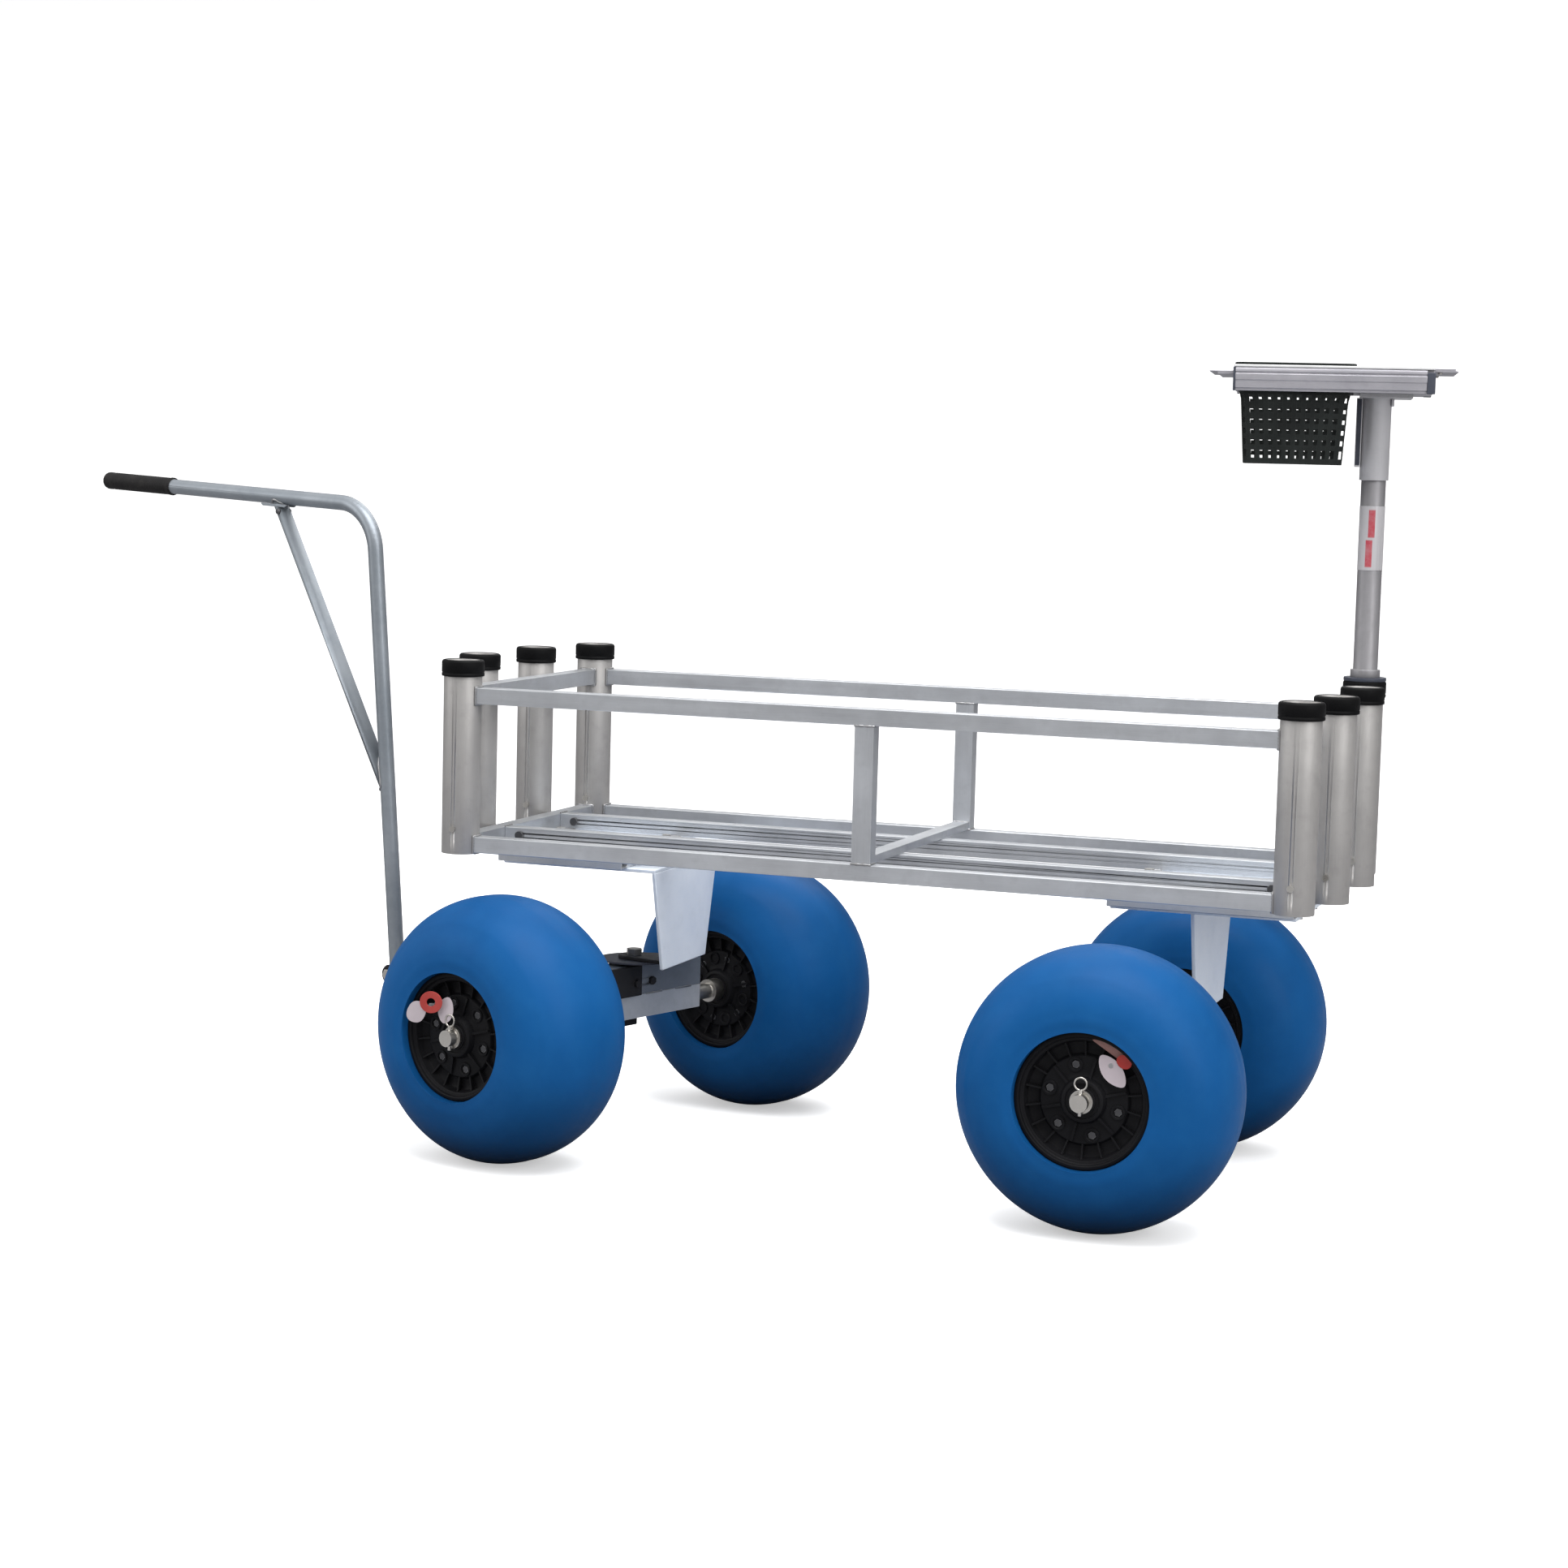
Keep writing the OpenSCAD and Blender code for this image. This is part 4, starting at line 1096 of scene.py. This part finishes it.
# ------------------------------------------------------------------ bait board
# drawn square about the post, basket towards -X, then swivelled
SWIVEL = (Matrix.Translation((BOARD_SWIVEL.x, BOARD_SWIVEL.y, 0))
          @ Matrix.Rotation(math.radians(10), 4, "Z"))
SHEET_LOW, SHEET_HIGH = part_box("cutting_board")
X0, X1 = -0.219, 0.084
Y0, Y1 = -0.115, 0.115
Z0, Z1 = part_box("board_frame")[0].z, SHEET_LOW.z
RAIL_WIDTH = 0.008
OPEN_X0 = X0 + 0.005          # basket opening
OPEN_X1 = OPEN_X0 + 0.177
BLOCK_THIN, BLOCK_THICK = 0.003, 0.012


def board_piece(name, mesh, look, slot, body="board", **options):
    bmesh.ops.transform(mesh, matrix=SWIVEL, verts=mesh.verts[:])
    piece(name, mesh, look, body, slot, **options)


def board_rails():
    height = Z1 - Z0
    # stepped, grooved side rail section: inset from the outer face, z
    section = [
        (RAIL_WIDTH, Z0), (0.0030, Z0), (0.0030, Z0 + height * 0.10),
        (0.0010, Z0 + height * 0.125), (0.0010, Z0 + height * 0.44), (0.0, Z0 + height * 0.46),
        (0.0, Z0 + height * 0.72), (0.0016, Z0 + height * 0.735),
        (0.0016, Z0 + height * 0.79), (0.0, Z0 + height * 0.805), (0.0, Z1 - 0.0040),
        (0.0009, Z1 - 0.0012), (0.0030, Z1), (RAIL_WIDTH, Z1)]
    mesh = bmesh.new()
    for face_y, side in ((Y0, -1), (Y1, 1)):
        loft(mesh, *[[(x, face_y - side * inset, z) for inset, z in section]
                     for x in (X0 + BLOCK_THIN, X1 - BLOCK_THICK)])
    y0, y1 = Y0 + RAIL_WIDTH, Y1 - RAIL_WIDTH
    # end rails
    add_box(mesh, (X0 + 0.001, y0, Z0 + 0.001), (OPEN_X0, y1, Z1))
    add_box(mesh, (X1 - BLOCK_THICK, y0, Z0 + 0.001), (X1 - 0.001, y1, Z1))
    # crossbar beside the basket opening, and the base plate over the socket
    bar_x1 = OPEN_X1 + 0.014
    add_box(mesh, (OPEN_X1, y0, Z0), (bar_x1, y1, Z1))
    add_box(mesh, (bar_x1, -0.07, Z0), (X1 - BLOCK_THICK, 0.07, Z0 + 0.003))
    board_piece("board_rails", mesh, "alu_board", "frame_aluminium", angle=25, bevel=0.0006,
                replaces="board_frame")


def corner_blocks():
    """Dark corner blocks: thin at the basket end, thick and lower at the post end."""
    mesh = bmesh.new()
    for x0, x1, top in ((X0 - 0.0005, X0 + BLOCK_THIN, Z1),
                        (X1 - BLOCK_THICK, X1 + 0.0005, Z1 - 0.004)):
        for y0, y1 in ((Y0 - 0.0002, Y0 + 0.0095), (Y1 - 0.0095, Y1 + 0.0002)):
            add_box(mesh, (x0, y0, Z0 - 0.0003), (x1, y1, top))
    board_piece("board_corner_blocks", mesh, "collar", "collar_plastic", angle=25,
                bevel=0.0010, segments=3)


def board_tab(name, outline):
    """Stepped blade across the board from an (x, z) outline."""
    mesh = bmesh.new()
    loft(mesh, *[[(x, y, z) for x, z in outline] for y in (Y0 + 0.012, Y1 - 0.012)])
    board_piece(name, mesh, "alu_board", "frame_aluminium", angle=25, bevel=0.0006)


def board_tabs():
    x0, x1, top = X0 - 0.037, X0 + 0.001, Z0 + 0.0305
    board_tab("board_tab_front", [
        (x0, top - 0.0018), (x0 + 0.012, top - 0.0018), (x0 + 0.0125, top - 0.0055),
        (x1, top - 0.0055), (x1, top), (x0, top)])
    x0, x1, top = X1 - 0.001, X1 + 0.034, Z0 + 0.0388
    board_tab("board_tab_rear", [
        (x0, top - 0.0058), (x1, top - 0.0058), (x1, top - 0.0034),
        (x1 - 0.004, top - 0.0030), (x1 - 0.004, top), (x0, top)])
    # small screws under the rear tab: radius, z
    screw = [(0, 0.0006), (0.0030, 0.0006), (0.0034, 0.0), (0.0034, -0.0020),
             (0.0028, -0.0028), (0, -0.0030)]
    mesh = bmesh.new()
    for y in (Y0 + 0.020, Y1 - 0.020):
        lathe(mesh, screw, 20, Matrix.Translation((X1 + 0.007, y, Z0 + 0.0330)), closed=False)
    merge_poles(mesh)
    board_piece("board_tab_screws", mesh, "steel", "steel_fastener")


def cutting_sheet():
    """Pale sheet on the board, cut out over the basket opening."""
    lap = 0.0005
    mesh = bmesh.new()
    rims = []
    for x0, y0, x1, y1 in ((X0 + lap, Y0 + lap, X1 - lap, Y1 - lap),
                           (OPEN_X0, Y0 + RAIL_WIDTH, OPEN_X1, Y1 - RAIL_WIDTH)):
        for z in (SHEET_LOW.z, SHEET_HIGH.z):
            rims.append([mesh.verts.new((x, y, z))
                         for x, y in ((x0, y0), (x1, y0), (x1, y1), (x0, y1))])
    outer_low, outer_top, inner_low, inner_top = rims
    for i in range(4):
        j = (i + 1) % 4
        mesh.faces.new((outer_low[i], outer_low[j], outer_top[j], outer_top[i]))
        mesh.faces.new((inner_low[j], inner_low[i], inner_top[i], inner_top[j]))
        mesh.faces.new((outer_top[i], outer_top[j], inner_top[j], inner_top[i]))
        mesh.faces.new((outer_low[j], outer_low[i], inner_low[i], inner_low[j]))
    board_piece("cutting_sheet", mesh, "cut", "cutting_board", angle=25, bevel=0.0012,
                segments=3, replaces="cutting_board")


board_rails()
corner_blocks()
board_tabs()
cutting_sheet()

# ------------------------------------------------------------------ basket
BASKET_LOW, BASKET_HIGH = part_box("basket")
BASKET_X = (OPEN_X0 + OPEN_X1) / 2
BASKET_TOP, BASKET_FLOOR = BASKET_HIGH.z - 0.004, BASKET_LOW.z + 0.001
TOP_HALF, FLOOR_HALF = (0.0868, 0.1048), (0.0765, 0.0950)  # half sizes along x and y
WALL = 0.0024
FLARE = 0.0022
ROWS = 6
BAND_FOOT = Z0 - 0.0035              # foot of the solid band under the rim
GRID_FOOT = BASKET_FLOOR + 0.0090
CELL = (BAND_FOOT - GRID_FOOT) / ROWS
BAR_HEIGHT, BAR_HALF_WIDTH = 0.0074, 0.0035
AXIS_X, AXIS_Y, AXIS_Z = Vector((1, 0, 0)), Vector((0, 1, 0)), Vector((0, 0, 1))


def basket_half(z):
    """Outside half sizes: a short flare under the rim, then an even taper."""
    drop = (BASKET_TOP - z) / (BASKET_TOP - BASKET_FLOOR)
    flare = FLARE * min(1.0, max(0.0, 1 - (Z0 - 0.001 - z) / 0.010))
    return (TOP_HALF[0] - FLARE + (FLOOR_HALF[0] - TOP_HALF[0]) * drop * 0.95 + flare,
            TOP_HALF[1] - 0.0010 + (FLOOR_HALF[1] - TOP_HALF[1]) * drop)


def hoop(mesh, z0, z1, thickness=WALL, out=0.0, steps=1):
    """Closed band round the basket between two heights, pushed out by out."""
    levels = [z0 + (z1 - z0) * i / steps for i in range(steps + 1)]
    stations = [(z, out) for z in levels] + [(z, out - thickness) for z in reversed(levels)]
    rings = []
    for z, offset in stations:
        half_x, half_y = basket_half(z)
        outline = rounded_rectangle(half_x + offset, half_y + offset,
                                    max(0.002, 0.012 + offset), 5)
        rings.append([mesh.verts.new((BASKET_X + x, y, z)) for x, y in outline])
    count = len(rings[0])
    for here, there in zip(rings, rings[1:] + rings[:1]):
        for i in range(count):
            j = (i + 1) % count
            mesh.faces.new((here[i], here[j], there[j], there[i]))


def bar(mesh, start, end, width_axis, outward):
    """Flat bar lying in a wall between two points."""
    proud = 0.0003
    corners = [width_axis * across + outward * depth for across, depth in (
        (-BAR_HALF_WIDTH, proud), (BAR_HALF_WIDTH, proud),
        (BAR_HALF_WIDTH, proud - WALL), (-BAR_HALF_WIDTH, proud - WALL))]
    loft(mesh, [start + corner for corner in corners], [end + corner for corner in corners])


def basket_uprights(mesh):
    """Upright bars; those on the far and rear walls are set half a pitch along."""
    for side in (-1, 1):
        # bar count, and the axis (0 is x, 1 is y) the wall runs along
        for count, along in ((11, 0), (15, 1)):
            for i in range(count):
                part = -1 + 2 * i / (count - 1)
                if side > 0 and i < count - 1:
                    part += 1.0 / (count - 1)
                path = []
                for z in (BASKET_FLOOR + 0.001, Z0 - 0.012, BAND_FOOT + 0.001):
                    half = basket_half(z)
                    point = [BASKET_X, 0.0, z]
                    point[along] += part * (half[along] - 0.0095)
                    point[1 - along] += side * half[1 - along]
                    path.append(Vector(point))
                axes = (AXIS_X, AXIS_Y)
                for start, end in zip(path, path[1:]):
                    bar(mesh, start, end, axes[along], axes[1 - along] * side)


def basket_weave(mesh):
    """Level bars halfway up each cell on the far and rear walls."""
    inset = 0.008
    for i in range(ROWS):
        z = GRID_FOOT + CELL * (i + 0.5)
        if z > BAND_FOOT - 0.004:
            continue
        half_x, half_y = basket_half(z)
        x0, x1 = BASKET_X - half_x, BASKET_X + half_x
        bar(mesh, Vector((x0 + inset, half_y, z)), Vector((x1 - inset, half_y, z)),
            AXIS_Z, AXIS_Y)
        bar(mesh, Vector((x1, inset - half_y, z)), Vector((x1, half_y - inset, z)),
            AXIS_Z, AXIS_X)


def basket_floor(mesh):
    half_x, half_y = basket_half(BASKET_FLOOR)
    end, edge, half_bar = 0.0015, 0.0095, 0.0028
    for i in range(12):
        x = BASKET_X - (half_x - edge) + 2 * (half_x - edge) * i / 11
        add_box(mesh, (x - half_bar, end - half_y, BASKET_FLOOR),
                (x + half_bar, half_y - end, BASKET_FLOOR + 0.0024))
    for i in range(15):
        y = -(half_y - edge) + 2 * (half_y - edge) * i / 14
        add_box(mesh, (BASKET_X - half_x + end, y - half_bar, BASKET_FLOOR + 0.0002),
                (BASKET_X + half_x - end, y + half_bar, BASKET_FLOOR + 0.0028))


def basket():
    mesh = bmesh.new()
    hoop(mesh, BASKET_FLOOR, GRID_FOOT)
    for i in range(1, ROWS):
        z = GRID_FOOT + CELL * i
        hoop(mesh, z - BAR_HEIGHT / 2, z + BAR_HEIGHT / 2)
    hoop(mesh, BAND_FOOT - 0.0015, BASKET_TOP, steps=10)
    # rolled rim resting on the board, and its raised crown
    hoop(mesh, Z1 + 0.0042, BASKET_TOP + 0.0030, thickness=0.0095, out=0.0052)
    hoop(mesh, BASKET_TOP + 0.0028, BASKET_TOP + 0.0038, thickness=0.0070, out=0.0040)
    basket_uprights(mesh)
    basket_weave(mesh)
    basket_floor(mesh)
    board_piece("basket_grid", mesh, "basket", "basket_plastic", body="basket", angle=30,
                replaces="basket")


def socket_details():
    # small clip at the top of the socket, away from the basket
    mesh = bmesh.new()
    add_box(mesh, (0.0218, -0.012, Z0 - 0.018), (0.0262, 0.012, Z0 - 0.0062))
    board_piece("socket_clip", mesh, "alu_socket", "frame_aluminium", angle=25,
                bevel=0.0010, segments=3)
    # painted shade: thin dark upright strip laid on the fin's face under the board, on the near and basket side of
    # the post
    mesh = bmesh.new()
    add_box(mesh, (-0.0300, -0.0206, Z0 - 0.110), (-0.0232, -0.0199, Z0 - 0.0075))
    board_piece("fin_painted_shade", mesh, "collar", "collar_plastic", angle=25)


basket()
socket_details()


# ------------------------------------------------------------------ stage, light, camera
def stage_material():
    """Pale to the camera, but throws back less light than a real white floor would."""
    m = Mat("studio_floor")
    cloud = m.noise(scale=3, detail=3, rough=0.5)
    seen = m.node("ShaderNodeLightPath").outputs["Is Camera Ray"]
    pale = m.ramp(cloud, [(0.3, 0.95), (0.7, 0.97)])
    return m.surface(color=m.mix(seen, (0.30, 0.30, 0.31), pale), rough=0.9, spec=0.0,
                     emission=(1.0, 1.0, 1.0),
                     emission_strength=m.calc("MULTIPLY", seen, 0.45))


def stage_floor():
    """Floor that curves up into a back wall on the far side."""
    half_width, near_y, bend_y, bend_radius, wall_top = 14.0, -9.0, 5.0, 3.0, 9.0
    profile = [(near_y, 0.0), (bend_y, 0.0)]
    for i in range(1, 17):
        angle = math.radians(90 * i / 16)
        profile.append((bend_y + bend_radius * math.sin(angle),
                        bend_radius - bend_radius * math.cos(angle)))
    profile.append((bend_y + bend_radius, wall_top))
    mesh = bmesh.new()
    left, right = [[mesh.verts.new((x, y, z)) for y, z in profile]
                   for x in (-half_width, half_width)]
    for i in range(len(profile) - 1):
        mesh.faces.new((left[i], right[i], right[i + 1], left[i + 1])).smooth = True
    data = bpy.data.meshes.new("studio_sweep")
    mesh.to_mesh(data)
    mesh.free()
    floor = bpy.data.objects.new("studio_sweep", data)
    bpy.context.scene.collection.objects.link(floor)
    data.materials.append(stage_material())


def studio_world():
    """Bright overhead, dimmer towards the horizon and below; plain white to the camera."""
    horizon, zenith = 0.36, 1.15
    world = bpy.data.worlds.new("studio")
    bpy.context.scene.world = world
    world.use_nodes = True
    nodes, links = world.node_tree.nodes, world.node_tree.links
    background = nodes["Background"]
    coords = nodes.new("ShaderNodeTexCoord")
    split = nodes.new("ShaderNodeSeparateXYZ")
    links.new(coords.outputs["Generated"], split.inputs[0])
    sky = nodes.new("ShaderNodeValToRGB")
    for i, value in enumerate((horizon, zenith)):
        sky.color_ramp.elements[i].position = float(i)
        sky.color_ramp.elements[i].color = rgba(value)
    links.new(split.outputs[2], sky.inputs[0])
    path = nodes.new("ShaderNodeLightPath")
    mix = nodes.new("ShaderNodeMix")
    mix.data_type = "RGBA"
    links.new(path.outputs["Is Camera Ray"], mix.inputs[0])
    links.new(sky.outputs[0], mix.inputs[6])
    mix.inputs[7].default_value = rgba(1.0)
    links.new(mix.outputs[2], background.inputs[0])
    background.inputs[1].default_value = 1.0


def area(name, place, target, size, power):
    """Square area light; place and target are measured from the deck middle."""
    data = bpy.data.lights.new(name, "AREA")
    data.energy = power
    data.size = size
    light = bpy.data.objects.new(name, data)
    light.location = Vector(place) + CENTRE
    aim = Vector(target) - Vector(place)
    light.rotation_euler = aim.to_track_quat("-Z", "Y").to_euler()
    bpy.context.scene.collection.objects.link(light)


def camera():
    """View from the near side and a little behind, looking slightly down."""
    place = Vector((1.4863, -4.7305, 1.1124))  # from the deck middle
    yaw, pitch, roll = math.radians(21.0137), math.radians(5.8058), math.radians(1.3729)
    data = bpy.data.cameras.new("photo_view")
    view = bpy.data.objects.new("photo_view", data)
    bpy.context.scene.collection.objects.link(view)
    forward = Vector((-math.sin(yaw) * math.cos(pitch), math.cos(yaw) * math.cos(pitch),
                      -math.sin(pitch)))
    right = Vector((math.cos(yaw), math.sin(yaw), 0))
    up = right.cross(forward)
    rolled_right = right * math.cos(roll) + up * math.sin(roll)
    rolled_up = -right * math.sin(roll) + up * math.cos(roll)
    matrix = Matrix((rolled_right, rolled_up, -forward)).transposed().to_4x4()
    matrix.translation = place + CENTRE
    view.matrix_world = matrix
    data.sensor_width = 36.0
    data.sensor_fit = "HORIZONTAL"
    data.lens = 72.4762733       # mm
    data.shift_x = 0.0436853002  # shifts are shares of the picture width
    data.shift_y = -0.0060766046
    data.clip_end = 60
    bpy.context.scene.camera = view


stage_floor()
studio_world()
area("key_top", place=(0.6, -1.0, 4.2), target=(0, 0, 0.4), size=3.6, power=210)
area("fill_right", place=(4.2, -2.4, 2.4), target=(0.2, 0, 0.5), size=2.6, power=80)
area("fill_left", place=(-4.4, -2.2, 2.2), target=(-0.2, 0, 0.5), size=2.6, power=45)
area("back_top", place=(-0.6, 3.4, 3.6), target=(0, 0, 0.5), size=3.0, power=60)
camera()
view_settings = bpy.context.scene.view_settings
view_settings.view_transform = "Standard"
view_settings.look = "None"
view_settings.exposure = 0.0
